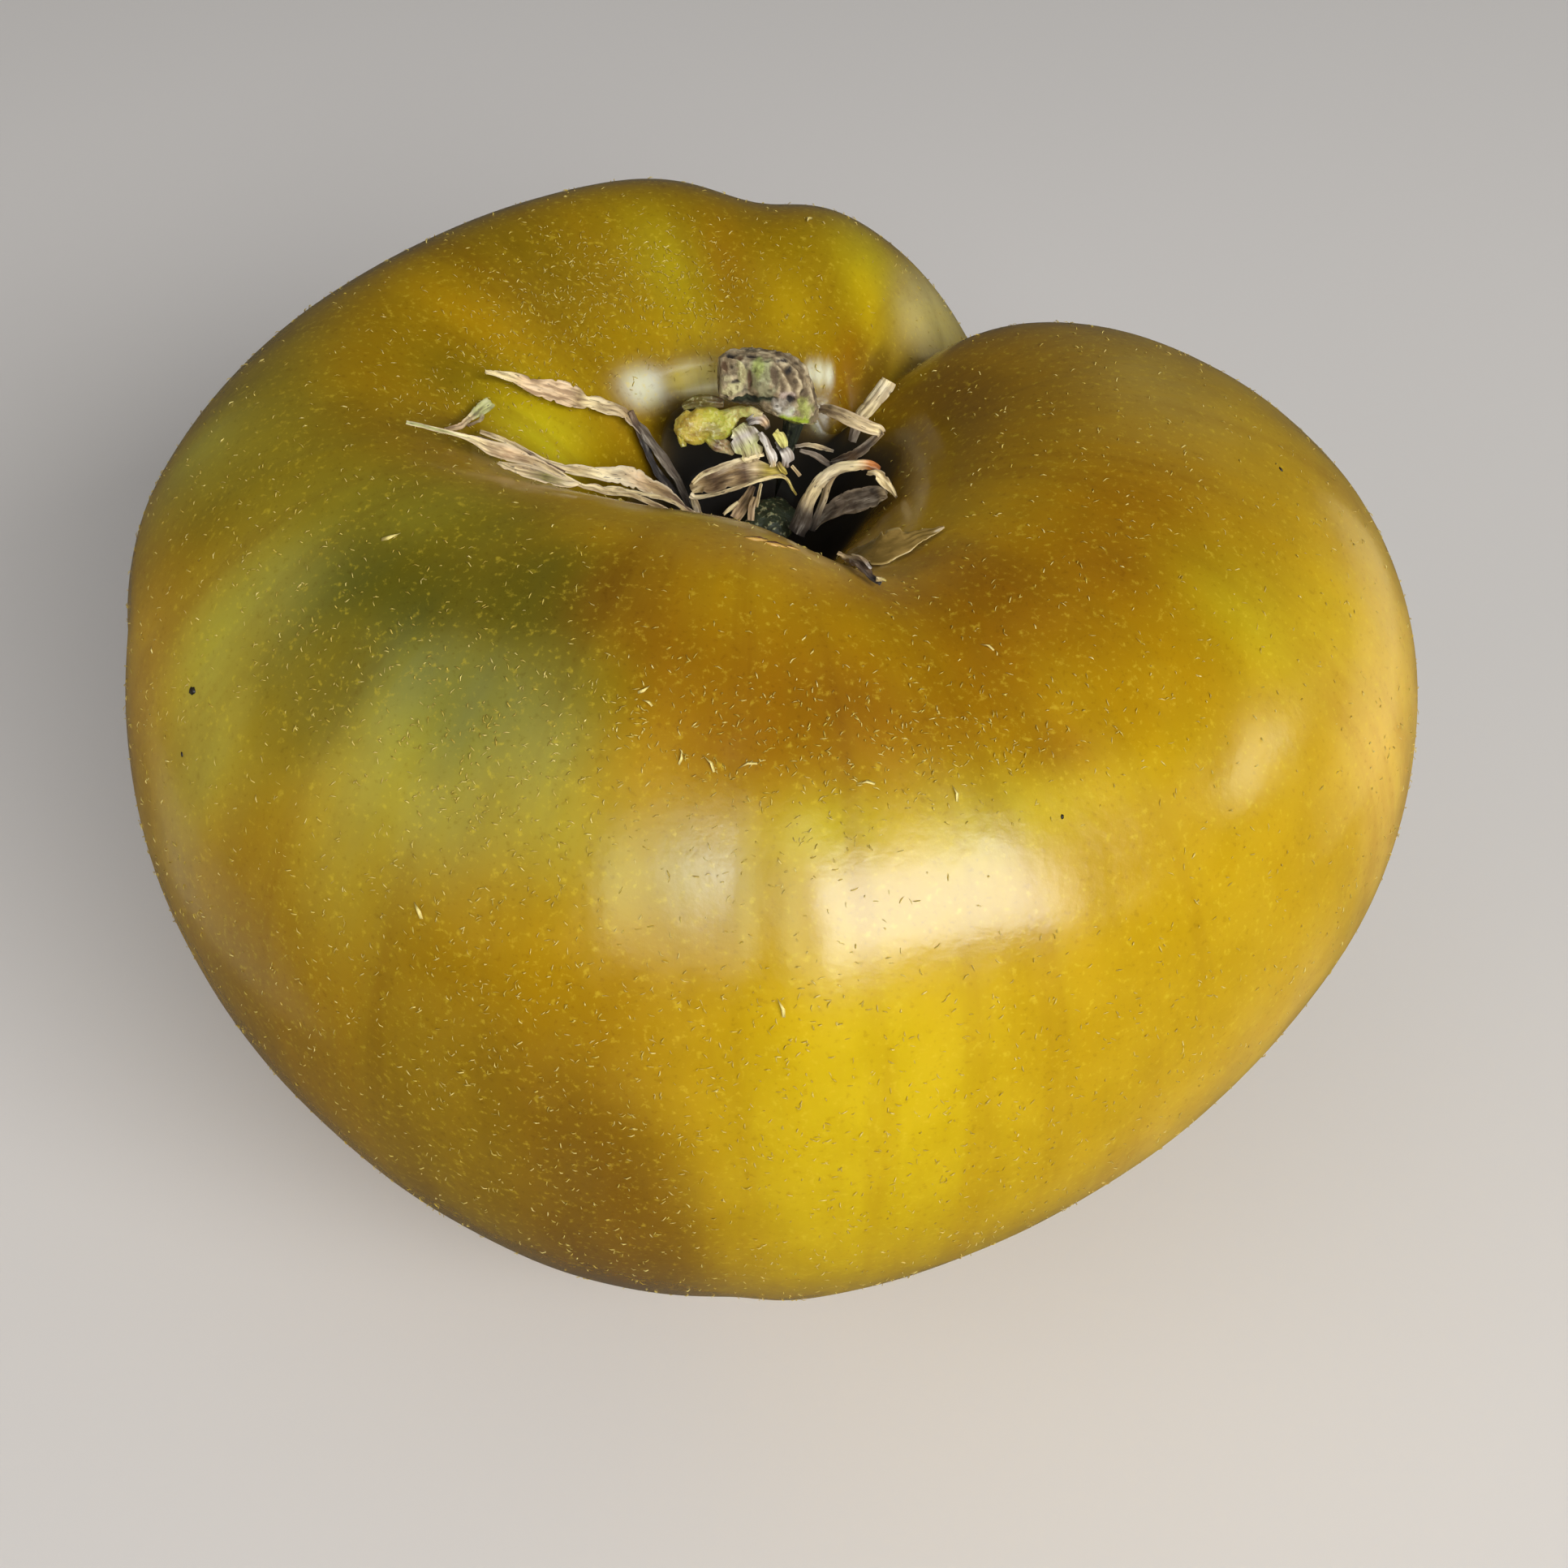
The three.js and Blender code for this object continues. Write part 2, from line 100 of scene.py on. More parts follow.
FURROW_AIM = 0.6                    # a furrow sinks towards this share of its height
FURROW_AIM_MAX_Z = 40

# The skin's slow unevenness, which dies out before the foot.
SKIN_WAVE_HEIGHT = 0.11
SKIN_WAVE_LENGTH = 9.0
SKIN_WAVE_CENTRE = (*CORE, FURROW_AIM_MAX_Z)
SKIN_WAVE_LAST_STATION = 12

SKIN_AZIMUTHS = 400
SKIN_RINGS_PER_STATION = 18


def turn_from(azimuth, at):
    """Degrees from one azimuth to another, from -180 to 180, anticlockwise above 0."""
    return (azimuth - at + 180) % 360 - 180


def catmull_rom(a, b, c, d, u):
    """The curve between b and c, at share u of the way, with a before them and d after."""
    return b + 0.5 * u * (c - a + u * (2 * a - 5 * b + 4 * c - d + u * (3 * (b - c) + d - a)))


def section_value(values, azimuth):
    """Smooth value of a section dimension at azimuths in degrees, joined round the fruit."""
    table = np.array(values, float)
    count = len(table)
    place = (azimuth / 360 * count) % count
    first = np.floor(place).astype(int)
    return catmull_rom(*(table[(first + step) % count] for step in (-1, 0, 1, 2)), place - first)


def profile_controls(azimuth):
    """Control points of the profiles at the azimuths, from the cavity floor to the foot."""
    rim_radius, rim_z, girth_radius, girth_z, fullness, wall_foot, wall_out, wall_up = (
        section_value(values, azimuth)
        for values in (RIM_RADIUS, RIM_Z, GIRTH_RADIUS, GIRTH_Z, FULLNESS, WALL_FOOT_OUT, WALL_OUT, WALL_UP)
    )
    away = np.radians(azimuth)

    def around(centre, radius, z):
        x = centre[0] + radius * np.cos(away)
        y = centre[1] + radius * np.sin(away)
        return np.stack([x, y, z + 0 * x], -1)

    climb = rim_z - PIT[2]
    drop = rim_z - girth_z
    shoulder = girth_radius - rim_radius
    girth = around(CORE, girth_radius, 0)
    foot = around(FOOT, FOOT_RADIUS, 0)

    def under(share, z):
        point = girth + (foot - girth) * (share + 0 * fullness)[:, None]
        point[:, 2] = z
        return point

    rows = [around(PIT, 0, PIT[2]), around(PIT, PIT_FLOOR_RADIUS, PIT[2])]
    rows += [around(PIT, wall_foot * rim_radius, PIT[2] + WALL_FOOT_UP * climb)]
    rows += [around(PIT, wall_out * rim_radius, PIT[2] + wall_up * climb)]
    rows += [around(CORE, CREST[0] * rim_radius, girth_z + CREST[1] * drop)]
    rows += [around(CORE, rim_radius + out * shoulder, girth_z + left * drop) for out, left in SHOULDER]
    rows += [around(CORE, BELLY[0] * girth_radius, BELLY[1] * girth_z)]
    rows += [under(np.minimum(inward / fullness, 1), up * girth_z) for inward, up in UNDERSIDE]
    rows += [under(1, 0), around(FOOT, FOOT_FLAT_RADIUS, 0), around(FOOT, 0, 0)]
    rows = [2 * rows[0] - rows[1], *rows, 2 * rows[-1] - rows[-2]]
    return np.stack(rows)


def unit(vectors):
    """The vectors, each made 1 long."""
    return vectors / np.linalg.norm(vectors, axis=-1, keepdims=True)


def carve(point, azimuth, station):
    """Sinks skin points into every furrow that passes them."""
    for anticlockwise, clockwise, sharp, line in FURROWS:
        stations, azimuths, depths = np.array(line, float).T
        turn = turn_from(azimuth, np.interp(station, stations, azimuths))
        away = np.abs(turn) / np.where(turn > 0, anticlockwise, clockwise)
        if sharp:
            fall = np.hypot(away, FURROW_FLOOR_ROUNDING) - FURROW_FLOOR_ROUNDING
        else:
            fall = away ** 2
        aim_z = np.minimum(FURROW_AIM * point[:, 2], FURROW_AIM_MAX_Z)
        inward = unit(np.stack([CORE[0] + 0 * aim_z, CORE[1] + 0 * aim_z, aim_z], -1) - point)
        point = point + inward * (np.interp(station, stations, depths) * np.exp(-fall))[:, None]
    return point


def waved(point, station):
    """Skin points lifted or lowered a little by slow waves."""
    height = SKIN_WAVE_HEIGHT * np.clip(SKIN_WAVE_LAST_STATION - station, 0, 1)
    outward = unit(point - np.array(SKIN_WAVE_CENTRE))
    wave = np.array([noise.noise(Vector(place)) for place in point / SKIN_WAVE_LENGTH])
    return point + outward * (height * wave)[:, None]


def skin_points(azimuth, station):
    """Points of the fruit's skin at pairs of azimuth and station."""
    azimuth, station = np.broadcast_arrays(np.asarray(azimuth, float), np.asarray(station, float))
    controls = profile_controls(azimuth)
    first = np.minimum(np.floor(station).astype(int), LAST_STATION - 1)
    u = station - first
    weights = ((1 - u) ** 3, 3 * u ** 3 - 6 * u ** 2 + 4, -3 * u ** 3 + 3 * u ** 2 + 3 * u + 1, u ** 3)
    column = np.arange(len(u))
    point = sum(controls[first + i, column] * (weight / 6)[:, None] for i, weight in enumerate(weights))
    return waved(carve(point, azimuth, station), station)


def skin_grid(azimuths, rings):
    """Azimuth and station of every ring vertex of the skin, ring by ring."""
    azimuth = np.tile(np.arange(azimuths) * 360 / azimuths, rings)
    station = np.repeat(np.arange(1, rings + 1) * (LAST_STATION - 1) / rings, azimuths)
    return azimuth, station


GRID_AZIMUTH, GRID_STATION = skin_grid(SKIN_AZIMUTHS, SKIN_RINGS_PER_STATION * (LAST_STATION - 1))
GRID_POINTS = skin_points(GRID_AZIMUTH, GRID_STATION)


def frame_shift():
    """What takes the fruit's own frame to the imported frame, from the middle of the fruit's box."""
    low, high = (np.array(corner) * MM_PER_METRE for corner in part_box("fruit"))
    own = (GRID_POINTS.min(0) + GRID_POINTS.max(0)) / 2
    shift = (low + high) / 2 - own
    shift[2] = 0
    return shift


SHIFT = frame_shift()


def in_frame(points):
    """Millimetres in the fruit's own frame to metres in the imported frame."""
    return (np.asarray(points, float) + SHIFT) / MM_PER_METRE


# ---------- what every piece is made with ----------
ATTRIBUTE_FIELDS = {"FLOAT": "value", "FLOAT_VECTOR": "vector", "FLOAT_COLOR": "color"}


def add_piece(name, node, slot, points, faces, material=None):
    """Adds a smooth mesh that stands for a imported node. Its material is its slot's, or the one named."""
    mesh = bpy.data.meshes.new(name)
    mesh.from_pydata([tuple(point) for point in in_frame(points)], [], faces)
    mesh.validate()
    mesh.polygons.foreach_set("use_smooth", [True] * len(mesh.polygons))
    mesh.materials.append(MATERIALS[material or slot])
    piece = bpy.data.objects.new(name, mesh)
    bpy.context.scene.collection.objects.link(piece)
    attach(piece, "root")
    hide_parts(node)
    return piece


def store(piece, name, kind, values):
    """Keeps a value for each vertex of a piece, for its material to read."""
    attribute = piece.data.attributes.new(name, kind, "POINT")
    attribute.data.foreach_set(ATTRIBUTE_FIELDS[kind], np.asarray(values, np.float32).ravel())


def store_colours(piece, name, colours):
    """Keeps an opaque colour for each vertex of a piece."""
    store(piece, name, "FLOAT_COLOR", np.hstack([np.array(colours), np.ones((len(colours), 1))]))


def mixed(first, second, share):
    """Colours that go from the first to the second as the share goes from 0 to 1."""
    return np.asarray(first) * (1 - share) + np.asarray(second) * share


def clamped(value):
    """The value, kept between 0 and 1."""
    return max(0.0, min(1.0, value))


def loft(count, sides):
    """Faces of a closed body through equal rings, capped at both ends by fans to a last pair of points."""
    faces = []
    for row in range(count - 1):
        for i in range(sides):
            j = (i + 1) % sides
            faces.append((row * sides + i, row * sides + j, (row + 1) * sides + j, (row + 1) * sides + i))
    first, last = count * sides, count * sides + 1
    end = (count - 1) * sides
    for i in range(sides):
        j = (i + 1) % sides
        faces.append((first, j, i))
        faces.append((last, end + i, end + j))
    return faces


class Nodes:
    """Short calls for building a material's node tree."""

    def __init__(self, name):
        self.material = bpy.data.materials.new(name)
        self.material.use_nodes = True
        self.tree = self.material.node_tree
        self.shader = self.tree.nodes["Principled BSDF"]

    def add(self, kind, inputs=None, **settings):
        node = self.tree.nodes.new(kind)
        for key, value in settings.items():
            setattr(node, key, value)
        for key, value in (inputs or {}).items():
            self.put(node.inputs[key], value)
        return node

    def put(self, socket, value):
        """Links a socket to another, or sets its plain value."""
        if isinstance(value, bpy.types.NodeSocket):
            self.tree.links.new(value, socket)
        else:
            socket.default_value = value

    def set(self, **inputs):
        """Puts values into the shader's sockets, whose names have spaces for the underscores."""
        for key, value in inputs.items():
            self.put(self.shader.inputs[key.replace("_", " ")], value)

    def attribute(self, name, output="Color"):
        return self.add("ShaderNodeAttribute", attribute_name=name).outputs[output]

    def place(self):
        return self.add("ShaderNodeTexCoord").outputs["Object"]

    def stretched(self, vector, scale):
        return self.add("ShaderNodeVectorMath", {0: vector, 1: scale}, operation="MULTIPLY").outputs[0]

    def noise(self, vector, scale, detail=3.0, roughness=0.5):
        inputs = {"Vector": vector, "Scale": scale, "Detail": detail, "Roughness": roughness}
        return self.add("ShaderNodeTexNoise", inputs).outputs["Fac"]

    def cells(self, vector, scale):
        return self.add("ShaderNodeTexVoronoi", {"Vector": vector, "Scale": scale}).outputs["Distance"]

    def ramp(self, value, low, high, to_low=0.0, to_high=1.0):
        """Smooth step from to_low at value low to to_high at value high."""
        inputs = {"Value": value, "From Min": low, "From Max": high, "To Min": to_low, "To Max": to_high}
        return self.add("ShaderNodeMapRange", inputs, interpolation_type="SMOOTHSTEP").outputs["Result"]

    def brightness(self, colour):
        return self.add("ShaderNodeRGBToBW", {"Color": colour}).outputs[0]

    def math(self, operation, first, second):
        return self.add("ShaderNodeMath", {0: first, 1: second}, operation=operation).outputs[0]

    def mix(self, factor, first, second, blend="MIX"):
        """Goes from the first colour to the second, a plain one, as the factor goes from 0 to 1."""
        node = self.add("ShaderNodeMix", data_type="RGBA", blend_type=blend)
        sockets = {s.identifier: s for s in node.inputs}
        self.put(sockets["Factor_Float"], factor)
        self.put(sockets["A_Color"], first)
        self.put(sockets["B_Color"], (*second, 1))
        return next(s for s in node.outputs if s.identifier == "Result_Color")

    def bump(self, height, distance, strength=1.0, normal=None):
        inputs = {"Height": height, "Distance": distance, "Strength": strength}
        if normal is not None:
            inputs["Normal"] = normal
        return self.add("ShaderNodeBump", inputs).outputs["Normal"]


# ---------- the skin's colours ----------
# Linear colours of the skin, from unripe green to ripe gold and brown, with those that the patches use for
# painted shade and painted highlights.
OLIVE = (0.28, 0.195, 0.002)
BRONZE = (0.275, 0.168, 0.002)
DARK_OLIVE = (0.185, 0.125, 0.002)
MOSS = (0.115, 0.10, 0.007)
FERN = (0.19, 0.155, 0.014)
SAGE = (0.29, 0.28, 0.055)
LIME = (0.54, 0.47, 0.01)
PISTACHIO = (0.44, 0.41, 0.055)
TAWNY = (0.29, 0.16, 0.003)
RUST = (0.27, 0.12, 0.001)
DARK_RUST = (0.20, 0.085, 0.001)
UMBER = (0.19, 0.098, 0.004)
FROND = (0.235, 0.20, 0.014)
TEAL = (0.205, 0.215, 0.055)
KHAKI = (0.40, 0.29, 0.06)
# a pale band by the cleft: painted light showing through the thin edge of the back lobe
HUSK = (0.62, 0.55, 0.22)
# nearly black: painted shade in the cleft and low on the right lobe's cavity wall
CREASE_SHADE = (0.06, 0.03, 0.004)
AMBER = (0.42, 0.25, 0.003)
GOLD = (0.51, 0.325, 0.003)
YELLOW = (0.60, 0.43, 0.002)
ROSE = (0.62, 0.39, 0.06)
# nearly black: painted shade deep in the stem cavity, over its dark cork
CORK_AND_SHADE = (0.008, 0.005, 0.003)
# a pale colour for the painted highlight on the wall behind the stem
PEARL = (0.76, 0.79, 0.66)
PINE = (0.07, 0.072, 0.006)
# bright pinkish gold; at the right rim it is partly painted reflection of the grazing light
BLUSH = (0.88, 0.58, 0.11)
# a pale colour for the painted highlight on the wall behind the stem
IVORY = (0.90, 0.78, 0.24)
SKIN_BASE = AMBER

# Where the skin is ripe and where it is still green, painted one over the other, with painted shade
# and painted highlights among them: (azimuth, its spread clockwise, its spread anticlockwise,
# station, its spread towards the stem, its spread towards the foot, edge, colour, strength).
# Edge 2 is soft, and 6 or more is crisp.
PATCHES = (
    # the back lobe and the left shoulder
    (120, 75, 70, 4.4, 3.0, 3.2, 4, BRONZE, 1.0),
    (135, 9, 8, 4.15, 0.5, 0.8, 2, DARK_OLIVE, 0.85),
    (151, 8, 7, 3.95, 0.5, 0.6, 2, AMBER, 0.7),
    (167, 7, 7, 3.8, 0.35, 0.4, 2, DARK_OLIVE, 0.7),
    (109, 8, 7, 3.9, 0.6, 0.7, 2, LIME, 0.45),
    (97, 5, 5, 4.1, 0.5, 0.6, 2, TAWNY, 0.8),
    (138, 8, 8, 4.1, 0.5, 0.6, 2, TAWNY, 0.35),
    (118, 18, 18, 3.35, 0.25, 0.25, 2, YELLOW, 0.25),
    (82, 8, 7, 3.8, 0.5, 0.45, 2, YELLOW, 0.45),
    (84, 5, 5, 4.4, 0.4, 0.5, 2, OLIVE, 0.5),
    (71, 9, 7, 4.9, 0.5, 0.8, 2, LIME, 0.7),
    # painted light: the pale glow through the thin edge of the back lobe by the cleft
    (63, 5, 6, 6.0, 0.9, 0.8, 3, HUSK, 0.95),
    (65, 5, 5, 4.1, 0.5, 0.4, 3, RUST, 0.85),
    (64, 3, 3, 4.3, 0.25, 0.25, 3, UMBER, 0.6),
    (68, 5, 5, 4.72, 0.22, 0.3, 2, YELLOW, 0.6),
    # painted shade down the cleft between the back lobe and the right lobe
    (61.5, 2.5, 2.5, 4.55, 0.35, 0.35, 4, CREASE_SHADE, 0.85),
    (172, 16, 14, 3.1, 0.5, 0.45, 2, LIME, 0.9),
    (190, 11, 12, 4.8, 0.6, 0.5, 2, DARK_OLIVE, 0.6),
    (183, 7, 8, 5.8, 0.5, 0.5, 2, LIME, 0.25),
    (192, 5, 6, 5.7, 0.35, 0.4, 2, DARK_OLIVE, 0.5),
    (182, 20, 22, 5.35, 0.6, 0.7, 3, FROND, 0.7),
    # painted shadow of the lower left sepal on the skin
    (188, 7, 7, 3.75, 0.3, 0.35, 2, DARK_OLIVE, 0.9),
    (181, 5, 6, 5.75, 0.4, 0.5, 2, PISTACHIO, 0.55),
    # the right lobe
    (15, 40, 45, 4.5, 1.6, 1.3, 3, TAWNY, 1.0),
    (15, 30, 35, 5.9, 0.6, 1.0, 2, GOLD, 0.8),
    (30, 30, 20, 3.9, 0.5, 0.35, 3, UMBER, 0.85),
    # painted shade on the right lobe's wall, low in the stem cavity
    (5, 45, 35, 3.1, 0.6, 0.5, 2, CREASE_SHADE, 0.5),
    (12, 20, 18, 5.15, 0.5, 0.5, 2, KHAKI, 0.6),
    (338, 20, 14, 5.1, 0.5, 0.4, 2, RUST, 0.8),
    (336, 9, 9, 5.65, 0.3, 0.25, 2, TAWNY, 0.6),
    (333, 5, 8, 5.9, 0.5, 0.4, 2, LIME, 0.45),
    # the gold right side and front
    (345, 36, 60, 7.0, 0.8, 3.0, 4, GOLD, 1.0),
    (300, 34, 40, 6.9, 0.8, 3.0, 4, GOLD, 1.0),
    # the pink and gold of the right rim, partly painted reflection of the grazing light
    (344, 14, 18, 6.5, 0.5, 1.2, 2, ROSE, 0.55),
    (340, 9, 22, 7.15, 0.75, 0.8, 3, BLUSH, 0.75),
    (322, 11, 10, 7.7, 0.4, 0.5, 2, BLUSH, 0.6),
    (307, 9, 9, 8.0, 0.35, 0.5, 2, BLUSH, 0.4),
    (279, 11, 12, 7.1, 0.7, 1.2, 3, YELLOW, 1.0),
    (292, 10, 10, 5.9, 0.3, 0.3, 2, LIME, 0.35),
    # the orange brown middle
    (284, 36, 40, 5.1, 0.9, 0.72, 4, RUST, 1.0),
    (312, 10, 10, 4.9, 0.35, 0.3, 2, DARK_RUST, 0.8),
    (256, 7, 7, 5.1, 0.4, 0.35, 2, DARK_RUST, 0.85),
    (309, 7, 8, 4.5, 0.3, 0.3, 2, DARK_RUST, 0.75),
    (328, 6, 6, 5.2, 0.25, 0.25, 2, DARK_RUST, 0.6),
    # painted highlight along the crest of the front rim
    (284, 22, 22, 4.45, 0.4, 0.32, 2, ROSE, 0.9),
    (268, 12, 12, 4.85, 0.3, 0.35, 2, AMBER, 0.8),
    (288, 12, 12, 5.05, 0.25, 0.25, 2, AMBER, 0.6),
    (268, 6, 6, 5.62, 0.15, 0.13, 2, RUST, 0.7),
    (304, 5, 4, 5.8, 0.13, 0.12, 2, RUST, 0.7),
    (309, 4, 5, 5.6, 0.2, 0.2, 2, AMBER, 0.8),
    (296, 24, 22, 6.03, 0.12, 0.13, 2, YELLOW, 0.5),
    (341, 8, 9, 6.15, 0.3, 0.4, 2, YELLOW, 0.5),
    (283, 5, 5, 5.42, 0.15, 0.15, 2, DARK_RUST, 0.4),
    (292, 6, 6, 5.35, 0.2, 0.2, 2, AMBER, 0.4),
    # the green left front
    (212, 18, 18, 5.0, 0.7, 0.7, 3, FROND, 1.0),
    (219, 9, 10, 5.8, 0.55, 0.5, 3, FERN, 1.0),
    (222, 13, 16, 5.3, 0.32, 0.4, 3, MOSS, 0.9),
    (236, 10, 9, 5.05, 0.4, 0.5, 3, MOSS, 0.9),
    (224, 9, 10, 4.75, 0.35, 0.4, 2, MOSS, 0.6),
    (241, 8, 7, 5.2, 0.4, 0.35, 3, MOSS, 0.85),
    (215, 8, 9, 5.48, 0.25, 0.32, 2, PINE, 0.75),
    (225, 5, 5, 5.5, 0.2, 0.15, 2, PINE, 0.8),
    (244, 7, 7, 5.46, 0.25, 0.25, 2, PINE, 0.9),
    (247, 6, 6, 4.95, 0.35, 0.4, 2, UMBER, 0.85),
    (251, 6, 5, 5.5, 0.2, 0.25, 2, OLIVE, 0.8),
    (244, 8, 7, 5.5, 0.22, 0.2, 3, FERN, 0.9),
    (237, 12, 10, 5.8, 0.28, 0.35, 2, SAGE, 0.95),
    (248, 6, 5, 5.75, 0.2, 0.3, 2, SAGE, 0.7),
    (234, 11, 9, 5.66, 0.25, 0.3, 3, TEAL, 0.85),
    (219.5, 4.5, 5, 6.1, 0.35, 0.45, 3, OLIVE, 0.9),
    (241, 8, 7, 6.15, 0.22, 0.3, 2, SAGE, 0.6),
    (206, 5, 5, 6.0, 0.5, 0.5, 2, PISTACHIO, 0.9),
    (214, 5, 5, 6.55, 0.35, 0.5, 2, PISTACHIO, 0.9),
    (221, 7, 6, 5.9, 0.4, 0.3, 3, FERN, 0.8),
    (209, 6, 6, 5.65, 0.3, 0.3, 2, SAGE, 0.5),
    (210, 4, 4, 6.2, 0.3, 0.3, 2, PISTACHIO, 0.6),
    (232, 4.5, 5, 5.95, 0.2, 0.25, 2, PISTACHIO, 0.5),
    (232, 7, 8, 6.3, 0.3, 0.5, 2, PISTACHIO, 0.5),
    # pink at the lower left rim, partly painted sheen of the grazing light
    (198, 8, 8, 6.7, 0.5, 1.0, 2, ROSE, 0.6),
    (217, 8, 8, 7.3, 0.7, 0.8, 2, ROSE, 0.6),
    (225, 14, 15, 7.4, 0.8, 1.2, 3, TAWNY, 0.95),
    (237, 7, 7, 6.62, 0.18, 0.22, 2, PISTACHIO, 0.35),
    (244, 12, 13, 6.7, 0.35, 0.6, 2, TAWNY, 0.9),
    (252, 16, 14.5, 7.9, 1.15, 2.5, 7, UMBER, 1.0),
    (244, 10, 8, 7.3, 0.6, 1.3, 3, BRONZE, 0.85),
    (256, 6, 5, 6.65, 0.25, 0.3, 2, TAWNY, 0.8),
    (253, 8, 6, 6.4, 0.3, 0.4, 2, AMBER, 0.7),
    (264, 7, 8, 6.12, 0.25, 0.22, 2, OLIVE, 0.8),
    (252, 7, 6, 6.05, 0.22, 0.25, 2, PISTACHIO, 0.45),
    (277, 6, 7, 5.95, 0.14, 0.14, 2, LIME, 0.6),
    (294, 7, 7, 6.0, 0.15, 0.14, 2, PISTACHIO, 0.35),
    # painted shade deep in the stem cavity, over the dark corky ring at its bottom
    (120, 42, 30, 0.8, 3.0, 2.0, 14, CORK_AND_SHADE, 1.0),
    (70, 30, 42, 0.8, 3.0, 2.5, 8, CORK_AND_SHADE, 1.0),
    (57, 9, 12, 0.8, 3.0, 3.0, 12, CORK_AND_SHADE, 1.0),
    (46, 18, 16, 0.8, 3.0, 2.4, 14, CORK_AND_SHADE, 1.0),
    (20, 45, 62, 0.8, 3.0, 2.35, 14, CORK_AND_SHADE, 1.0),
    (290, 62, 62, 0.8, 3.0, 1.6, 6, CORK_AND_SHADE, 1.0),
    (210, 62, 62, 0.8, 3.0, 1.5, 6, CORK_AND_SHADE, 1.0),
    (152, 14, 34, 0.8, 3.0, 1.62, 8, CORK_AND_SHADE, 1.0),
    # painted highlight on the wall behind the stem, partly paler bloom
    (131, 8, 8.5, 2.93, 0.17, 0.17, 3, PEARL, 0.85),
    (110, 10, 12, 2.90, 0.14, 0.15, 4, IVORY, 0.85),
    (72.9, 1.6, 1.7, 3.42, 0.12, 0.12, 3, PEARL, 0.8),
    (70.8, 1.7, 1.7, 3.55, 0.12, 0.12, 3, PEARL, 0.95),
    (68.9, 1.5, 1.5, 3.70, 0.11, 0.11, 3, PEARL, 0.95),
    # a scar on the front rim
    (274, 9, 9, 4.34, 0.12, 0.11, 4, ROSE, 0.5),
)


def patch_weight(patch, azimuth, station):
    """How much of a patch shows at each azimuth and station."""
    at, clockwise, anticlockwise, middle, inner, outer, edge, _, strength = patch
    turn = turn_from(azimuth, at)
    step = station - middle
    across = np.abs(turn) / np.where(turn < 0, clockwise, anticlockwise)
    length = np.abs(step) / np.where(step < 0, inner, outer)
    return strength * np.exp(-np.hypot(across, length) ** edge)


def skin_colours(azimuth, station):
    """The ripening colour at each azimuth and station, with the patches' painted shade and highlights."""
    colours = np.tile(np.array(SKIN_BASE), (len(azimuth), 1))
    for patch in PATCHES:
        colours = mixed(colours, patch[7], patch_weight(patch, azimuth, station)[:, None])
    return colours


STREAK_PALE = (0.62, 0.54, 0.02)
STREAK_DARK = (0.60, 0.38, 0.10)
MOTTLE_DARK = (0.45, 0.33, 0.08)
# pale flecks: the skin's own fine texture and painted glints of its fine hairs
FLECK_PALE = (0.78, 0.60, 0.04)
FLECK_DARK = (0.45, 0.30, 0.05)
# How many mottles, flecks, waves and grains there are in a metre of skin.
SKIN_MOTTLE = 170
SKIN_FLECKS = 1900
SKIN_WAVES = 260
SKIN_GRAIN = 1500
STREAKS_ROUND = 9.0                 # how finely the streaks divide the fruit's round
STREAK_STRETCH = 0.35               # how fast they change from stem to foot


def fruit_skin_material():
    """Waxy skin: its ripening colours with their painted shade and highlights, streaks from stem to foot,
    mottling, and fine pale specks that are partly painted glints.
    """
    n = Nodes("fruit_skin")
    place = n.place()
    colour = n.attribute("ripeness_and_painted_light")
    # 1 on the skin, falling to 0 where the patches paint shade nearly black; the painted shade gets no pale
    # flecks and is made rough
    outside_painted_shade = n.ramp(n.brightness(colour), 0.02, 0.09)
    streak = n.noise(n.attribute("grain", "Vector"), 1.0, 4.0, 0.6)
    mottle = n.noise(place, SKIN_MOTTLE, 4.0, 0.55)
    colour = n.mix(n.ramp(streak, 0.40, 0.68, 0.0, 0.30), colour, STREAK_PALE, "SOFT_LIGHT")
    colour = n.mix(n.ramp(streak, 0.50, 0.30, 0.0, 0.25), colour, STREAK_DARK, "MULTIPLY")
    colour = n.mix(n.ramp(mottle, 0.35, 0.65, 0.16, 0.0), colour, MOTTLE_DARK, "MULTIPLY")
    # pale flecks, partly painted glints, kept out of the painted shade
    fine = n.noise(place, SKIN_FLECKS, 3.0, 0.6)
    flecks = n.math("MULTIPLY", n.ramp(fine, 0.55, 0.75, 0.0, 0.30), outside_painted_shade)
    colour = n.mix(flecks, colour, FLECK_PALE)
    colour = n.mix(n.ramp(fine, 0.42, 0.28, 0.0, 0.25), colour, FLECK_DARK, "MULTIPLY")
    uneven = n.bump(n.noise(place, SKIN_WAVES, 2.0), 0.00010, 0.45)
    grainy = n.bump(n.noise(place, SKIN_GRAIN, 3.0, 0.6), 0.00003, 0.5, uneven)
    rough = n.math("ADD", n.ramp(mottle, 0.3, 0.7, 0.18, 0.26), n.ramp(outside_painted_shade, 0.0, 1.0, 0.65, 0.0))
    n.set(Base_Color=colour, Roughness=rough, Normal=grainy)
    n.set(IOR=1.45, Specular_IOR_Level=0.34)
    n.set(Subsurface_Weight=0.08, Subsurface_Scale=0.002, Subsurface_Radius=(1.0, 0.5, 0.1))
    n.set(Coat_Weight=0.06, Coat_Roughness=0.16)
    n.set(Sheen_Weight=0.03, Sheen_Roughness=0.45, Sheen_Tint=(1.0, 0.86, 0.62, 1))
    return n.material


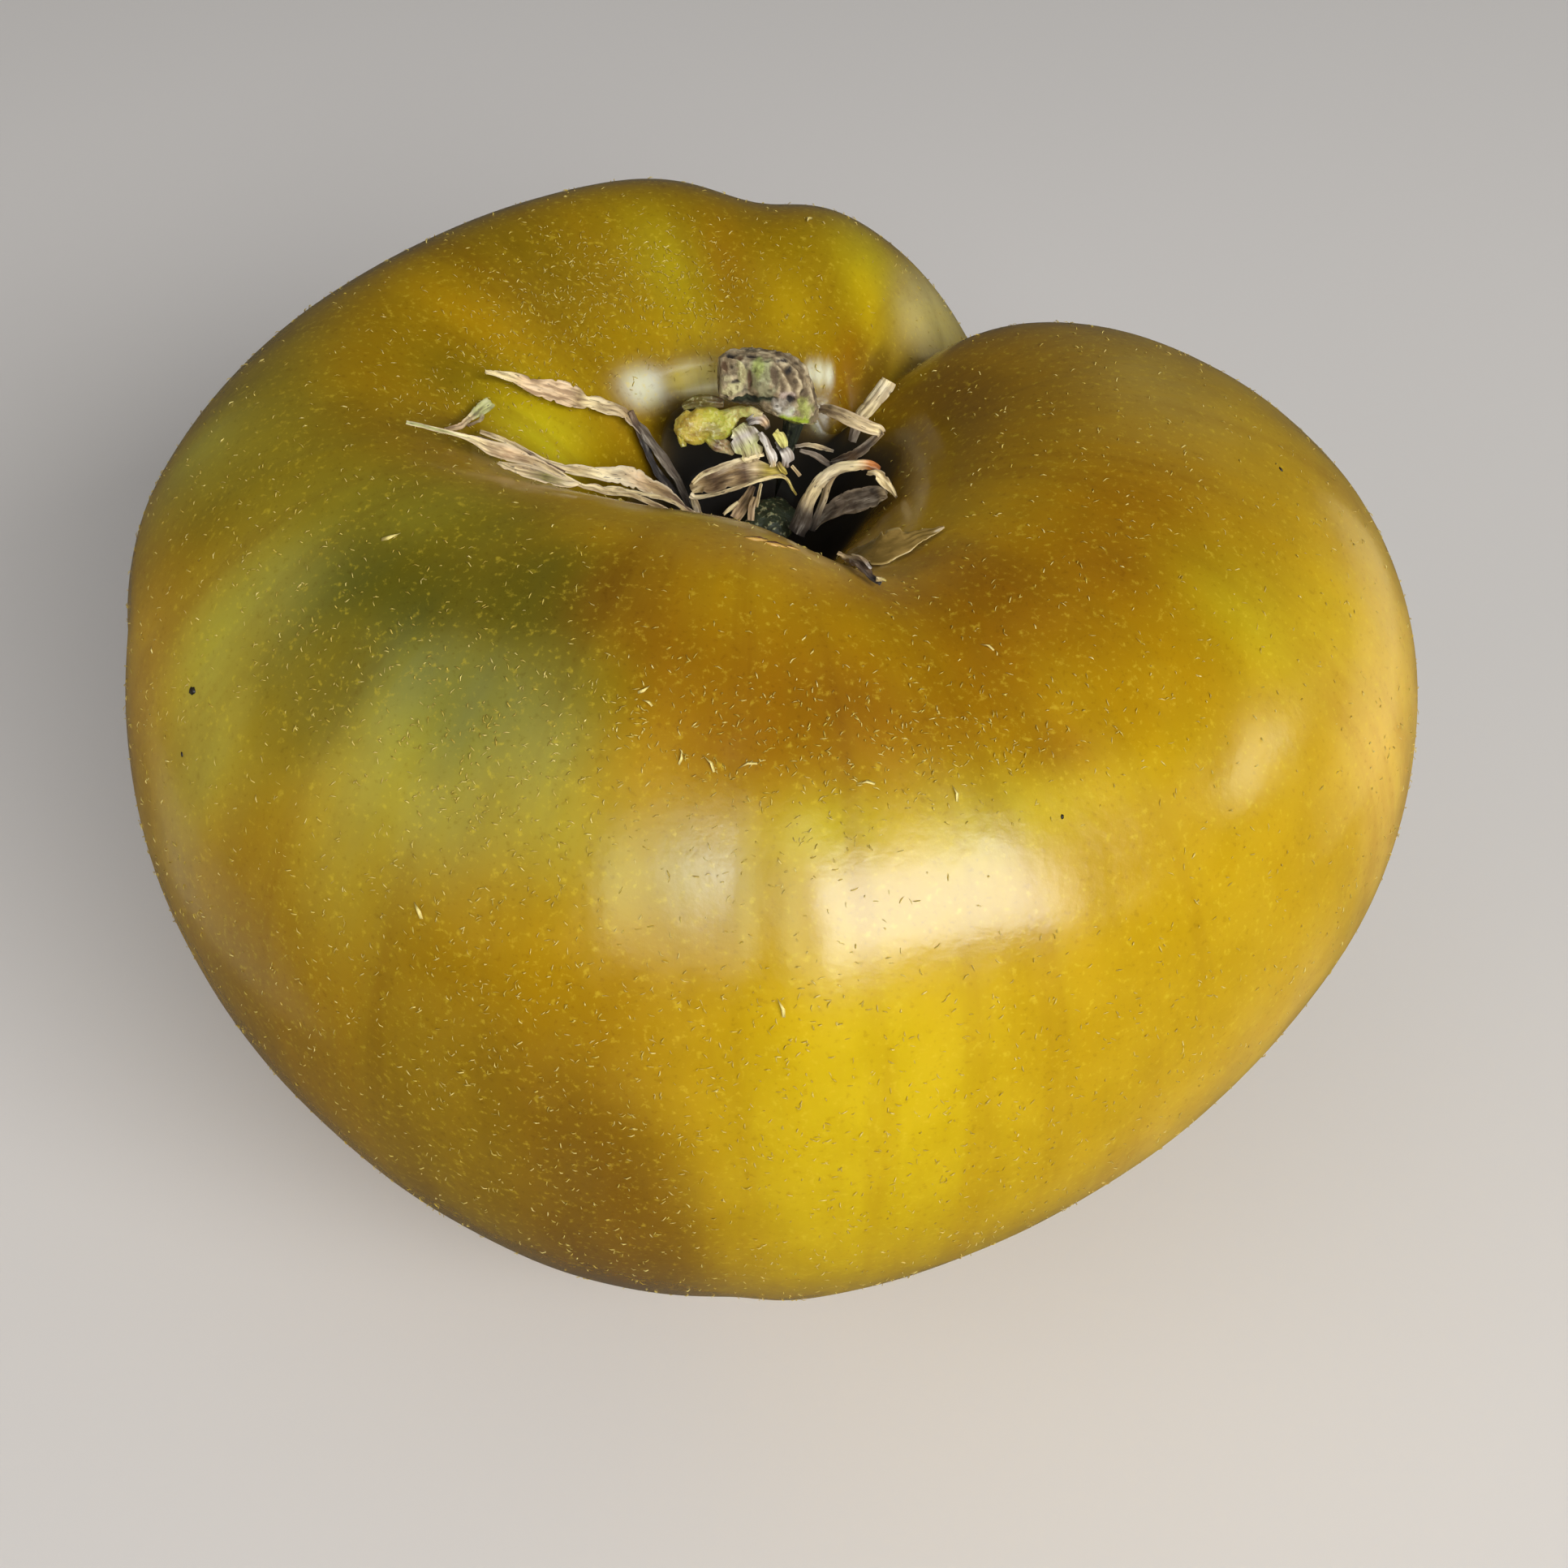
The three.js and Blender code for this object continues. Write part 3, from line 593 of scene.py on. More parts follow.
def build_fruit():
    """The fruit's skin: rings of quads, closed by a fan in the pit and one in the foot."""
    columns = SKIN_AZIMUTHS
    rings = len(GRID_POINTS) // columns
    points = [PIT, *GRID_POINTS, (*FOOT, 0)]
    last = len(points) - 1
    faces = []
    for column in range(columns):
        following = (column + 1) % columns
        faces.append((0, 1 + column, 1 + following))
        for ring in range(rings - 1):
            upper = 1 + ring * columns
            lower = upper + columns
            faces.append((upper + column, lower + column, lower + following, upper + following))
        bottom = 1 + (rings - 1) * columns
        faces.append((last, bottom + following, bottom + column))
    piece = add_piece("fruit_body", "fruit", "fruit_skin", points, faces)
    azimuth = np.concatenate([[0], GRID_AZIMUTH, [0]])
    station = np.concatenate([[0], GRID_STATION, [LAST_STATION]])
    store_colours(piece, "ripeness_and_painted_light", skin_colours(azimuth, station))
    turn = np.radians(azimuth)
    grain = (STREAKS_ROUND * np.cos(turn), STREAKS_ROUND * np.sin(turn), STREAK_STRETCH * station)
    store(piece, "grain", "FLOAT_VECTOR", np.stack(grain, 1))


# ---------- the fine hairs and marks on the skin ----------
HAIR_SEED = 7
HAIR_TRIES = 60000
HAIR_COUNT = 8200                   # about how many of them are kept
HAIR_STATIONS = (2.9, 11)
HAIR_LENGTH = (0.15, 0.55)
HAIR_RADIUS = (0.025, 0.06)
HAIR_BEND = 0.5                     # the most a hair bends aside, as a share of its length
HAIR_LIFT = (0.03, 0.16)
HAIR_PALE = (0.84, 0.72, 0.24)
HAIR_DULL = (0.56, 0.42, 0.05)
HAIR_CLOUD = (0.5, 0.34, 0.1)
HAIR_FACES = ((0, 2, 1), (0, 1, 4, 3), (1, 2, 5, 4), (2, 0, 3, 5), (3, 4, 6), (4, 5, 6), (5, 3, 6))
HAIR_POINTS = 7                     # two triangles of points and a tip
HAIR_LOWEST = 7.5                   # past this station, low on the fruit, there are few
HAIR_COMMON = 0.5
HAIR_SPARSE = 0.25
# Where hairs stand thicker: (azimuth, spread, station, spread, how much thicker).
HAIR_BEDS = (
    (272, 26, 5.72, 0.30, 12.0),
    (252, 18, 6.3, 0.7, 3.5),
    (116, 30, 3.7, 0.55, 12.0),
    (165, 26, 3.4, 0.7, 4.0),
    (275, 30, 7.2, 1.0, 2.0),
    (215, 26, 5.6, 0.9, 1.5),
    (330, 30, 4.8, 0.9, 0.6),
)
# Where few stand: (azimuth, spread, station, spread, how many fewer).
HAIR_BARE = (
    (294, 16, 6.22, 0.34, 0.9),
    (265, 10, 6.2, 0.36, 0.75),
)
# Larger curled flakes: (azimuth, station, length, radius, turn on the skin).
FLAKES = (
    (240.8, 6.52, 1.1, 0.16, 100), (272.5, 6.65, 1.3, 0.15, 80), (212.8, 5.15, 1.3, 0.16, 20),
    (81.8, 4.97, 1.2, 0.17, 60), (282.8, 5.79, 1.1, 0.13, 150), (290.8, 5.9, 1.0, 0.14, 70),
    (304, 5.29, 0.9, 0.12, 110), (265.8, 5.74, 1.2, 0.13, 100), (270.5, 5.7, 1.2, 0.12, 170),
    (262, 5.72, 0.9, 0.12, 60), (256, 5.45, 0.8, 0.13, 10), (258, 5.5, 0.7, 0.12, 130),
)
FLAKE_BEND = 0.5
FLAKE_LIFT = 1.2                    # of its radius
SPOT_DARK = (0.02, 0.014, 0.01)
SCAR_LIP = (0.66, 0.40, 0.09)
SCAR_SLOT = (0.10, 0.035, 0.012)
# Small dark spots and a healed scar:
# (azimuth, station, half length round the fruit, half width, height, colour).
SPOTS = (
    (207.8, 6.33, 0.34, 0.34, 0.12, SPOT_DARK),
    (210.2, 6.6, 0.17, 0.17, 0.06, SPOT_DARK),
    (359, 5.77, 0.2, 0.2, 0.07, SPOT_DARK),
    (300.8, 6.07, 0.14, 0.14, 0.05, SPOT_DARK),
    (270.6, 4.325, 0.8, 0.42, 0.08, SCAR_LIP),
    (275.2, 4.36, 1.0, 0.36, 0.08, SCAR_LIP),
    (279.2, 4.35, 0.55, 0.26, 0.06, SCAR_LIP),
    (271.1, 4.31, 0.32, 0.22, 0.16, SCAR_SLOT),
    (275, 4.345, 0.66, 0.2, 0.16, SCAR_SLOT),
    (278.8, 4.34, 0.28, 0.16, 0.13, SCAR_SLOT),
)
SPOT_SIDES = 20
SPOT_RIM = 0.15                     # of the height
SKIN_TURN = 0.2                     # small steps round the skin, in degrees,
SKIN_STEP = 0.02                    # and down it, in stations, to find which way it faces


def skin_frames(azimuth, station):
    """Points of the skin, the way it faces there, the way round it and how much skin a step covers."""
    here = skin_points(azimuth, station)
    round_it = skin_points(azimuth + SKIN_TURN, station) - here
    down_it = skin_points(azimuth, station + SKIN_STEP) - here
    facing = np.cross(down_it, round_it)
    area = np.linalg.norm(facing, axis=1)
    return here, facing / area[:, None], unit(round_it), area


def turned(along, facing, turn):
    """Ways along the skin, turned on it by angles in radians."""
    turn = turn[:, None]
    return along * np.cos(turn) + np.cross(facing, along) * np.sin(turn)


def hair_thickness(azimuth, station):
    """How thick the hairs stand at each place."""
    thick = np.where(station < HAIR_LOWEST, HAIR_COMMON, HAIR_SPARSE)
    for at, spread, level, reach, more in HAIR_BEDS:
        turn = turn_from(azimuth, at)
        thick += more * np.exp(-(turn / spread) ** 2 - ((station - level) / reach) ** 2)
    for at, spread, level, reach, less in HAIR_BARE:
        turn = turn_from(azimuth, at)
        thick *= 1 - less * np.exp(-(turn / spread) ** 4 - ((station - level) / reach) ** 4)
    return thick


def hair_mesh(base, facing, along, length, radius, bend, lift):
    """Closed three-sided hairs lying on the skin: points and faces of all of them."""
    side = np.cross(facing, along)
    middle = base + along * (length * 0.5)[:, None] + side * (bend * 0.2)[:, None] + facing * lift[:, None]
    tip = base + along * length[:, None] + side * bend[:, None] + facing * (lift * 0.8)[:, None]
    rings = []
    for centre, share in ((base, 0.8), (middle, 1.0)):
        for angle in (0, 2 * math.pi / 3, 4 * math.pi / 3):
            out = side * math.cos(angle) * -1 + facing * math.sin(angle)
            rings.append(centre + out * (radius * share)[:, None])
    points = np.stack([*rings, tip], 1).reshape(-1, 3)
    faces = [
        tuple(HAIR_POINTS * hair + corner for corner in face)
        for hair in range(len(base)) for face in HAIR_FACES
    ]
    return points, faces


def build_hairs():
    """Fine hairs, pale and dull, that lie on the skin, and the larger flakes among them."""
    draw = np.random.default_rng(HAIR_SEED)
    azimuth = draw.uniform(0, 360, HAIR_TRIES)
    station = draw.uniform(*HAIR_STATIONS, HAIR_TRIES)
    base, facing, along, area = skin_frames(azimuth, station)
    chance = hair_thickness(azimuth, station) * area
    keep = draw.uniform(0, 1, HAIR_TRIES) < chance * HAIR_COUNT / chance.sum()
    base, facing, along = base[keep], facing[keep], along[keep]
    count = len(base)
    along = turned(along, facing, draw.uniform(0, 2 * math.pi, count))
    length = draw.uniform(*HAIR_LENGTH, count)
    radius = draw.uniform(*HAIR_RADIUS, count)
    bend = draw.uniform(-HAIR_BEND, HAIR_BEND, count) * length
    lift = draw.uniform(*HAIR_LIFT, count)
    shade = draw.uniform(0, 1, count)
    flake_azimuth, flake_station, flake_length, flake_radius, flake_turn = np.array(FLAKES).T
    at, way, across, _ = skin_frames(flake_azimuth, flake_station)
    across = turned(across, way, np.radians(flake_turn))
    points, faces = hair_mesh(
        np.vstack([base, at]), np.vstack([facing, way]), np.vstack([along, across]),
        np.concatenate([length, flake_length]), np.concatenate([radius, flake_radius]),
        np.concatenate([bend, flake_length * FLAKE_BEND]), np.concatenate([lift, flake_radius * FLAKE_LIFT]),
    )
    piece = add_piece("skin_hairs", "fruit", "fruit_skin", points, faces, "hairs")
    shade = np.concatenate([shade, np.ones(len(FLAKES))])
    store_colours(piece, "tone", mixed(HAIR_DULL, HAIR_PALE, np.repeat(shade ** 2, HAIR_POINTS)[:, None]))


def build_spots():
    """Small dark scabs and the scar's lips, a little proud of the skin."""
    points, faces, tones = [], [], []
    for azimuth, station, half_length, half_width, height, colour in SPOTS:
        at, way, across, _ = (part[0] for part in skin_frames(np.array([azimuth]), np.array([station])))
        other = np.cross(way, across)
        first = len(points)
        last = first + SPOT_SIDES + 1
        points.append(at + way * height)
        for i in range(SPOT_SIDES):
            turn = 2 * math.pi * i / SPOT_SIDES
            uneven = 1 + 0.18 * math.sin(2 * turn + azimuth) + 0.1 * math.sin(5 * turn + station)
            flat = across * half_length * math.cos(turn) + other * half_width * math.sin(turn)
            points.append(at + flat * uneven + way * height * SPOT_RIM)
        points.append(at - way * height)
        tones += [colour] * (SPOT_SIDES + 2)
        for i in range(SPOT_SIDES):
            j = (i + 1) % SPOT_SIDES
            faces.append((first, first + 1 + i, first + 1 + j))
            faces.append((last, first + 1 + j, first + 1 + i))
    piece = add_piece("skin_spots", "fruit", "fruit_skin", points, faces, "spots")
    store_colours(piece, "tone", tones)


def hair_material(name):
    """Pale or dull hairs, each with its own tone, faintly clouded."""
    n = Nodes(name)
    cloud = n.ramp(n.noise(n.place(), 1200, 2.0), 0.35, 0.6, 0.3, 0.0)
    colour = n.mix(cloud, n.attribute("tone"), HAIR_CLOUD, "MULTIPLY")
    n.set(Base_Color=colour, Roughness=0.5, Specular_IOR_Level=0.4)
    return n.material


# ---------- the calyx and the stem ----------
CREAM = (0.95, 0.80, 0.44)
PALE = (0.74, 0.60, 0.34)
PINKISH = (0.86, 0.64, 0.38)
TAN = (0.50, 0.36, 0.17)
BROWN = (0.20, 0.12, 0.06)
# nearly black: at the bases of the sepals deep in the stem cavity it is painted shade over their dark tissue
DARK = (0.035, 0.025, 0.022)
GREY = (0.21, 0.17, 0.125)
LAVENDER = (0.62, 0.57, 0.52)
ORANGE = (0.55, 0.20, 0.04)
LEAF = (0.50, 0.49, 0.05)
PALE_GREEN = (0.62, 0.64, 0.27)
DARK_GREEN = (0.035, 0.045, 0.018)
YOLK = (0.62, 0.50, 0.08)
PALE_CREAM = (0.95, 0.84, 0.56)
WHITISH = (0.92, 0.88, 0.80)
BUTTER = (0.85, 0.80, 0.26)
OCHRE = (0.62, 0.48, 0.06)
PALE_LEAF = (0.72, 0.70, 0.22)
MOSSY = (0.20, 0.17, 0.03)
LAVENDER_GREY = (0.38, 0.31, 0.23)
BURNT_ORANGE = (0.40, 0.13, 0.03)
# painted shade: the folded middle of a blade is darkened as if shaded by its curled edges
HEART_LOSS = (0.80, 0.86, 0.90)     # what the folded middle of a blade loses, where it is darkest

# The dried sepals and scraps, most of them from the tip to the base.
# spine: (x, y, z, width); faces: the way the flat side looks; cup: how far the edges curl towards
# that way, as a share of the width; twist: degrees at tip and base; tones: (share of length, colour);
# ragged and wrinkle: how torn the edges and how crumpled the blade; pale_edges and heart: how pale
# the edges and how dark the middle, which are paler margins with painted light on the curled edges
# and painted shade in the folded middle; strands: loose fibres and folded parts of the same sepal,
# with whatever differs from the main blade. The dark tones at the bases, deep in the stem cavity, are
# painted shade over the sepals' dark tissue.
STRIPS = (
    dict(
        node="sepal_upper_left", slot="tan_sepal", faces=(0.5, -0.5, 0.7), cup=0.10, twist=(0, 20),
        ragged=0.14, wrinkle=0.09, seed=1, heart=0.25,
        spine=((-22.9, 13.6, 73.5, 0.3), (-22, 14.5, 72.6, 0.6), (-20.5, 15.4, 71.2, 1.15),
               (-19.5, 15.6, 70.6, 1.4), (-18.1, 16, 69.8, 1.75), (-16.9, 16.3, 69.1, 1.85),
               (-16.1, 16.6, 68.5, 1.5), (-15.7, 16.8, 68.2, 0.9), (-15.1, 17, 67.9, 1.25),
               (-14.4, 17.4, 67.3, 1.4), (-13.5, 17.8, 66.7, 1.2), (-12.6, 17.9, 65.8, 1.1),
               (-11.4, 17.7, 64.2, 1.1), (-10, 17.1, 62.2, 1.15), (-8.5, 15.4, 60.6, 1),
               (-7.7, 13.8, 59.6, 0.6)),
        tones=((0.1, CREAM), (0.18, PINKISH), (0.34, PINKISH), (0.38, TAN), (0.42, CREAM), (0.5, PALE),
               (0.58, TAN), (0.66, GREY), (0.8, GREY), (1, DARK)),
        strands=(
            # painted shadow: this dark strand stands for the shade beside the leg
            dict(spine=((-12.4, 18.1, 66.3, 0.5), (-11.5, 17.4, 63.8, 0.8), (-10.5, 16.6, 61.4, 0.9),
                        (-9.2, 15.4, 60.2, 0.8), (-8.3, 14, 59.4, 0.5)),
                 tones=((0, BROWN), (0.3, DARK)), seed=31),
            dict(spine=((-8, 14.2, 59.9, 0.6), (-6.2, 13.4, 58.7, 0.6), (-4.8, 13.3, 58.4, 0.5)),
                 tones=((1, DARK),), seed=57),
        ),
    ),
    dict(
        node="sepal_lower_left", slot="tan_sepal", faces=(0.3, -0.5, 0.8), cup=0.24, ragged=0.12,
        wrinkle=0.06, seed=2, pale_edges=0.95, heart=0.8,
        spine=((-27.2, 3.1, 76.8, 0.27), (-26.2, 3.1, 76.5, 0.3), (-24.7, 3, 76.1, 0.32),
               (-23.5, 3, 75.7, 0.36), (-22.4, 3, 75.2, 0.6), (-21.2, 2.8, 74.6, 1.1),
               (-19.8, 2.9, 73.9, 1.2), (-18.6, 3.2, 73.2, 0.85), (-17.4, 3.2, 72.5, 0.55),
               (-16.1, 3, 71.8, 0.36), (-14.9, 3, 71, 0.36), (-14.1, 3.4, 70.5, 0.55),
               (-13.1, 4.4, 69.2, 0.45), (-11.6, 6, 67.6, 0.4), (-10.1, 7.1, 65.8, 0.45),
               (-9.1, 7.7, 64.6, 0.4)),
        tones=((0.1, PALE_GREEN), (0.22, CREAM), (0.33, PINKISH), (0.42, TAN), (0.5, CREAM), (0.8, CREAM),
               (1, TAN)),
        strands=(
            dict(spine=((-22.4, 4, 74.8, 0.14), (-19.3, 4.6, 72.9, 0.16), (-16.3, 4.4, 71.2, 0.15)),
                 tones=((1, BROWN),), pale_edges=0, seed=32),
            dict(spine=((-9.4, 7.5, 65, 0.4), (-7.4, 8.8, 62.4, 0.45), (-6, 10, 60.6, 0.5),
                        (-4.9, 11.1, 59.3, 0.5)),
                 tones=((0, TAN), (0.3, BROWN), (1, DARK)), seed=58),
        ),
    ),
    dict(
        node="sepal_lower_left_margin", slot="cream_sepal", faces=(0.3, -0.5, 0.8), cup=0.16, twist=(0, 8),
        ragged=0.12, wrinkle=0.08, seed=3, pale_edges=0.85, heart=0.35,
        spine=((-22.7, 6.9, 73, 0.32), (-21.4, 7.1, 72.2, 0.4), (-20.2, 7.1, 71.5, 0.42),
               (-19.1, 7.1, 70.7, 0.42), (-17.9, 6.9, 70, 0.5), (-16.6, 7.2, 69.2, 0.75),
               (-14.8, 8.2, 68, 1), (-13.5, 9, 67.1, 1.3), (-12.2, 9.8, 66.2, 1.8),
               (-11.3, 10.6, 65.1, 1.85), (-10.4, 11.1, 64.1, 1.4), (-9, 11.4, 62.9, 0.9),
               (-7.8, 11.5, 61.4, 0.4)),
        tones=((0, TAN), (0.12, CREAM), (0.2, BROWN), (0.26, PALE), (0.42, CREAM), (0.6, PALE_CREAM),
               (0.72, PINKISH), (0.82, TAN), (0.92, BROWN)),
        strands=(
            dict(spine=((-14.4, 3.8, 70, 0.22), (-12.9, 5.6, 68.6, 0.42), (-11.7, 7.1, 67, 0.38),
                        (-10.2, 9, 65, 0.36), (-8.9, 10.7, 63, 0.4), (-7.6, 11, 61.6, 0.32)),
                 tones=((0.7, CREAM), (1, TAN)), heart=0.2, seed=33),
            dict(spine=((-8, 11.5, 61.7, 0.4), (-6.4, 11.8, 60, 0.5), (-5, 12.3, 59.1, 0.5)),
                 tones=((0, BROWN), (1, DARK)), seed=59),
        ),
    ),
    dict(
        node="sepal_lower_left_under", slot="tan_sepal", faces=(0.2, -0.3, 0.9), cup=0.12, ragged=0.16,
        wrinkle=0.07, seed=4, pale_edges=1.0, heart=0.3,
        spine=((-20.5, 0.5, 75.2, 0.3), (-19.4, -0.1, 75.2, 0.75), (-18.1, -0.3, 74.9, 1.05),
               (-16.9, -0.6, 74.7, 0.95), (-15.6, -0.9, 74.4, 0.6), (-14.7, -0.8, 74.3, 0.25)),
        tones=((0, CREAM), (0.35, PALE), (0.6, MOSSY), (1, PALE)),
    ),
    dict(
        node="sepal_tip_cross", slot="tan_sepal", faces=(0.3, -0.6, 0.8), cup=0.12, twist=(0, 10),
        ragged=0.12, wrinkle=0.05, seed=5, heart=0.2,
        spine=((-22.5, 11.7, 72, 0.95), (-22.7, 11.1, 72.2, 1), (-23, 10.2, 72.5, 0.9),
               (-23.3, 8.9, 73, 0.7), (-23.6, 7.5, 73.6, 0.5), (-24, 6.1, 74.1, 0.42),
               (-24.8, 4.6, 75, 0.32)),
        tones=((0.35, PALE_GREEN), (0.5, CREAM), (0.8, PINKISH), (1, TAN)),
        strands=(
            dict(spine=((-22.9, 9.9, 72.3, 0.35), (-22.8, 8, 73.2, 0.3), (-23.4, 6.2, 74.1, 0.2)),
                 tones=((0, CREAM), (1, BROWN)), seed=35),
        ),
    ),
    dict(
        node="sepal_front", slot="tan_sepal", faces=(0, -0.7, 0.7), cup=0.18, ragged=0.10, wrinkle=0.12,
        seed=6, pale_edges=0.7, heart=0.9,
        spine=((-7.5, 14.1, 61.5, 0.7), (-6.8, 13.9, 62.1, 1.3), (-5.9, 13.5, 62.7, 1.7),
               (-4.7, 13.4, 63.3, 1.85), (-3.5, 13.3, 63.8, 1.9), (-2.3, 13.2, 64.1, 1.8),
               (-1.3, 13, 64.2, 1.25), (-0.5, 13.1, 64.2, 0.75), (-0.1, 13.2, 64.1, 0.4)),
        tones=((0, CREAM), (0.12, TAN), (0.3, BROWN), (0.5, TAN), (0.62, BROWN), (0.72, PALE),
               (0.85, YOLK)),
        strands=(
            dict(spine=((-7.4, 13.9, 62.3, 0.35), (-6.4, 13.9, 63.3, 0.45), (-4.4, 13.6, 64.5, 0.5),
                        (-2.5, 13.6, 65.2, 0.45), (-1.6, 13.7, 65.4, 0.3)),
                 tones=((0, CREAM), (0.5, PALE_CREAM), (1, CREAM)), heart=0, seed=36),
            dict(spine=((-7.6, 13.4, 61.5, 0.55), (-7.1, 13.2, 61.4, 0.4), (-5.5, 12.4, 62.4, 0.3),
                        (-4.2, 12, 63.2, 0.3), (-2.7, 11.8, 64, 0.3), (-1.7, 11.9, 64.3, 0.3),
                        (-0.5, 12.2, 64.4, 0.3), (0.2, 12.5, 63.9, 0.25), (0.6, 12.4, 63.1, 0.22),
                        (1, 12.3, 62.4, 0.15)),
                 tones=((0, PALE_CREAM), (0.6, CREAM), (1, YOLK)), heart=0, seed=37),
            dict(spine=((-7.4, 13.6, 61.2, 0.45), (-7.2, 13.4, 60.4, 0.6), (-7, 13.1, 59.5, 0.7)),
                 tones=((0, PALE), (1, GREY)), heart=0.2, seed=38),
        ),
    ),
    dict(
        node="sepal_front_deep", slot="grey_sepal", faces=(0, -0.7, 0.7), cup=0.2, twist=(0, 20),
        ragged=0.14, wrinkle=0.10, seed=7, heart=0.9,
        spine=((-4, 12.7, 59.6, 0.9), (-3.5, 13.3, 60.2, 1), (-3, 13.7, 60.8, 0.9),
               (-2.5, 14.4, 61.6, 0.6)),
        tones=((0, PINKISH), (0.5, TAN), (1, BROWN)),
        strands=(
            dict(spine=((-4.9, 12.4, 60.3, 0.25), (-4.3, 12.5, 60.9, 0.4), (-3.7, 12.6, 61.4, 0.3)),
                 tones=((1, CREAM),), heart=0, seed=39),
            dict(spine=((-2.2, 12.7, 60.8, 0.22), (-2, 12.9, 62, 0.26), (-1.8, 13, 63, 0.25)),
                 tones=((1, CREAM),), heart=0, seed=40),
            dict(spine=((-2.7, 12.1, 59.9, 0.6), (-2.6, 12.7, 60.8, 0.6), (-2.3, 13, 61.6, 0.45)),
                 tones=((0, PINKISH), (1, TAN)), seed=41),
        ),
    ),
    dict(
        node="sepal_front_right", slot="cream_sepal", faces=(-0.3, -0.7, 0.6), cup=-0.22, ragged=0.07,
        wrinkle=0.05, seed=8, pale_edges=0.4, heart=0.1,
        spine=((7.5, 10.9, 66.2, 0.4), (7.1, 10.7, 66.6, 0.65), (6.5, 10.7, 66.8, 0.8),
               (5.6, 10.6, 66.8, 0.85), (4.3, 11, 66.2, 0.9), (3.1, 11, 65.3, 1), (2.3, 10.7, 64.2, 1.1),
               (1.7, 10.4, 62.8, 1.3), (1.4, 10.4, 61.4, 1.6), (0.9, 10, 60.4, 1.6)),
        tones=((0, BURNT_ORANGE), (0.1, ORANGE), (0.2, CREAM), (0.45, PALE_CREAM), (0.6, CREAM),
               (0.7, PALE), (0.8, GREY), (1, DARK)),
        strands=(
            dict(spine=((5.9, 11.2, 66, 0.25), (4.3, 11.6, 65.3, 0.4), (3.5, 11.4, 64.2, 0.55),
                        (3.1, 11, 62.9, 0.6), (2.6, 10.7, 61.4, 0.6), (2.2, 10.3, 60.4, 0.6)),
                 tones=((0, BROWN), (0.3, TAN), (0.6, PALE), (0.8, GREY), (1, DARK)), heart=0.7, seed=42),
        ),
    ),
    dict(
        node="sepal_right", slot="grey_sepal", faces=(-0.3, -0.7, 0.6), cup=0.18, ragged=0.12, wrinkle=0.10,
        seed=9, pale_edges=0.75, heart=0.6,
        spine=((7.9, 7.8, 66.2, 0.8), (7.4, 8.3, 65.8, 1.4), (6.8, 8.7, 65.2, 1.75), (5.4, 9.6, 64, 1.8),
               (4.1, 10.8, 62.2, 1.5), (3, 11.5, 60.6, 0.9), (2.4, 11.3, 59.8, 0.6)),
        tones=((0, PALE), (0.1, GREY), (0.3, GREY), (0.6, LAVENDER_GREY), (0.85, GREY), (1, DARK)),
        strands=(
            dict(spine=((6.5, 9.2, 67.2, 0.35), (7.1, 8.8, 67.4, 0.6), (7.5, 8.5, 67.3, 0.8),
                        (8, 8, 67, 0.8), (8.4, 7.3, 66.9, 0.55), (8.6, 6.7, 66.9, 0.25)),
                 tones=((0, TAN), (0.3, CREAM)), ragged=0.35, wrinkle=0.2, heart=0.3, seed=43),
        ),
    ),
    dict(
        node="sepal_back_right", slot="cream_sepal", faces=(-0.5, -0.8, 0.3), cup=-0.25, ragged=0.08,
        wrinkle=0.05, seed=10, pale_edges=0.6, heart=0.25,
        spine=((8.4, 19.4, 68.4, 1.3), (8.2, 19.2, 68.1, 1.4), (7.7, 19, 67.4, 1.35), (7, 18.7, 66.5, 1.3),
               (6.2, 18.5, 65.4, 1.2), (5.8, 18.3, 64.3, 1), (5.5, 17.9, 63.4, 0.75)),
        tones=((0, CREAM), (0.1, PALE_CREAM), (0.5, CREAM), (0.65, PALE), (0.85, LAVENDER_GREY), (1, GREY)),
    ),
    dict(
        node="sepal_back_right_folded", slot="tan_sepal", faces=(0, -0.7, 0.7), cup=0.15, ragged=0.10,
        wrinkle=0.06, seed=11, pale_edges=0.9, heart=0.6,
        spine=((2.9, 17.5, 67, 0.6), (3.4, 17, 67.3, 0.85), (3.9, 16.2, 67.7, 1), (5.3, 14.7, 68.1, 1.1),
               (6.6, 14, 67.9, 1.1), (7.5, 14.1, 67.5, 0.95), (7.7, 14.3, 67, 0.7)),
        tones=((0, BROWN), (0.12, TAN), (0.45, PALE), (0.75, PALE), (0.9, CREAM), (1, TAN)),
        strands=(
            dict(spine=((7.8, 14.4, 67.1, 0.5), (7.2, 14.5, 66.3, 0.65), (6.3, 14.7, 65.1, 0.8),
                        (5.1, 15.3, 63.7, 0.85), (3.9, 16.1, 62.6, 0.6)),
                 tones=((0, TAN), (0.25, GREY), (0.6, BROWN), (1, DARK)), pale_edges=0.7, seed=44),
        ),
    ),
    dict(
        node="sepal_inner", slot="grey_sepal", faces=(0, -0.7, 0.7), cup=0.2, ragged=0.12, wrinkle=0.06,
        seed=12, heart=0.2,
        spine=((4, 15.6, 64.2, 0.25), (3, 15.8, 64.4, 0.42), (2, 15.9, 64.6, 0.38), (0.9, 15.7, 64.6, 0.3)),
        tones=((0, GREY), (0.4, PALE), (1, GREY)),
        strands=(
            dict(spine=((1.3, 16, 64, 0.3), (2.5, 16.1, 63.4, 0.5), (3.4, 16.2, 62.6, 0.5),
                        (4.3, 16.3, 61.8, 0.3)),
                 tones=((0, GREY), (0.4, LAVENDER_GREY), (1, DARK)), seed=45),
            dict(spine=((0.6, 12.9, 64.9, 0.25), (1.3, 12.5, 64.2, 0.3)),
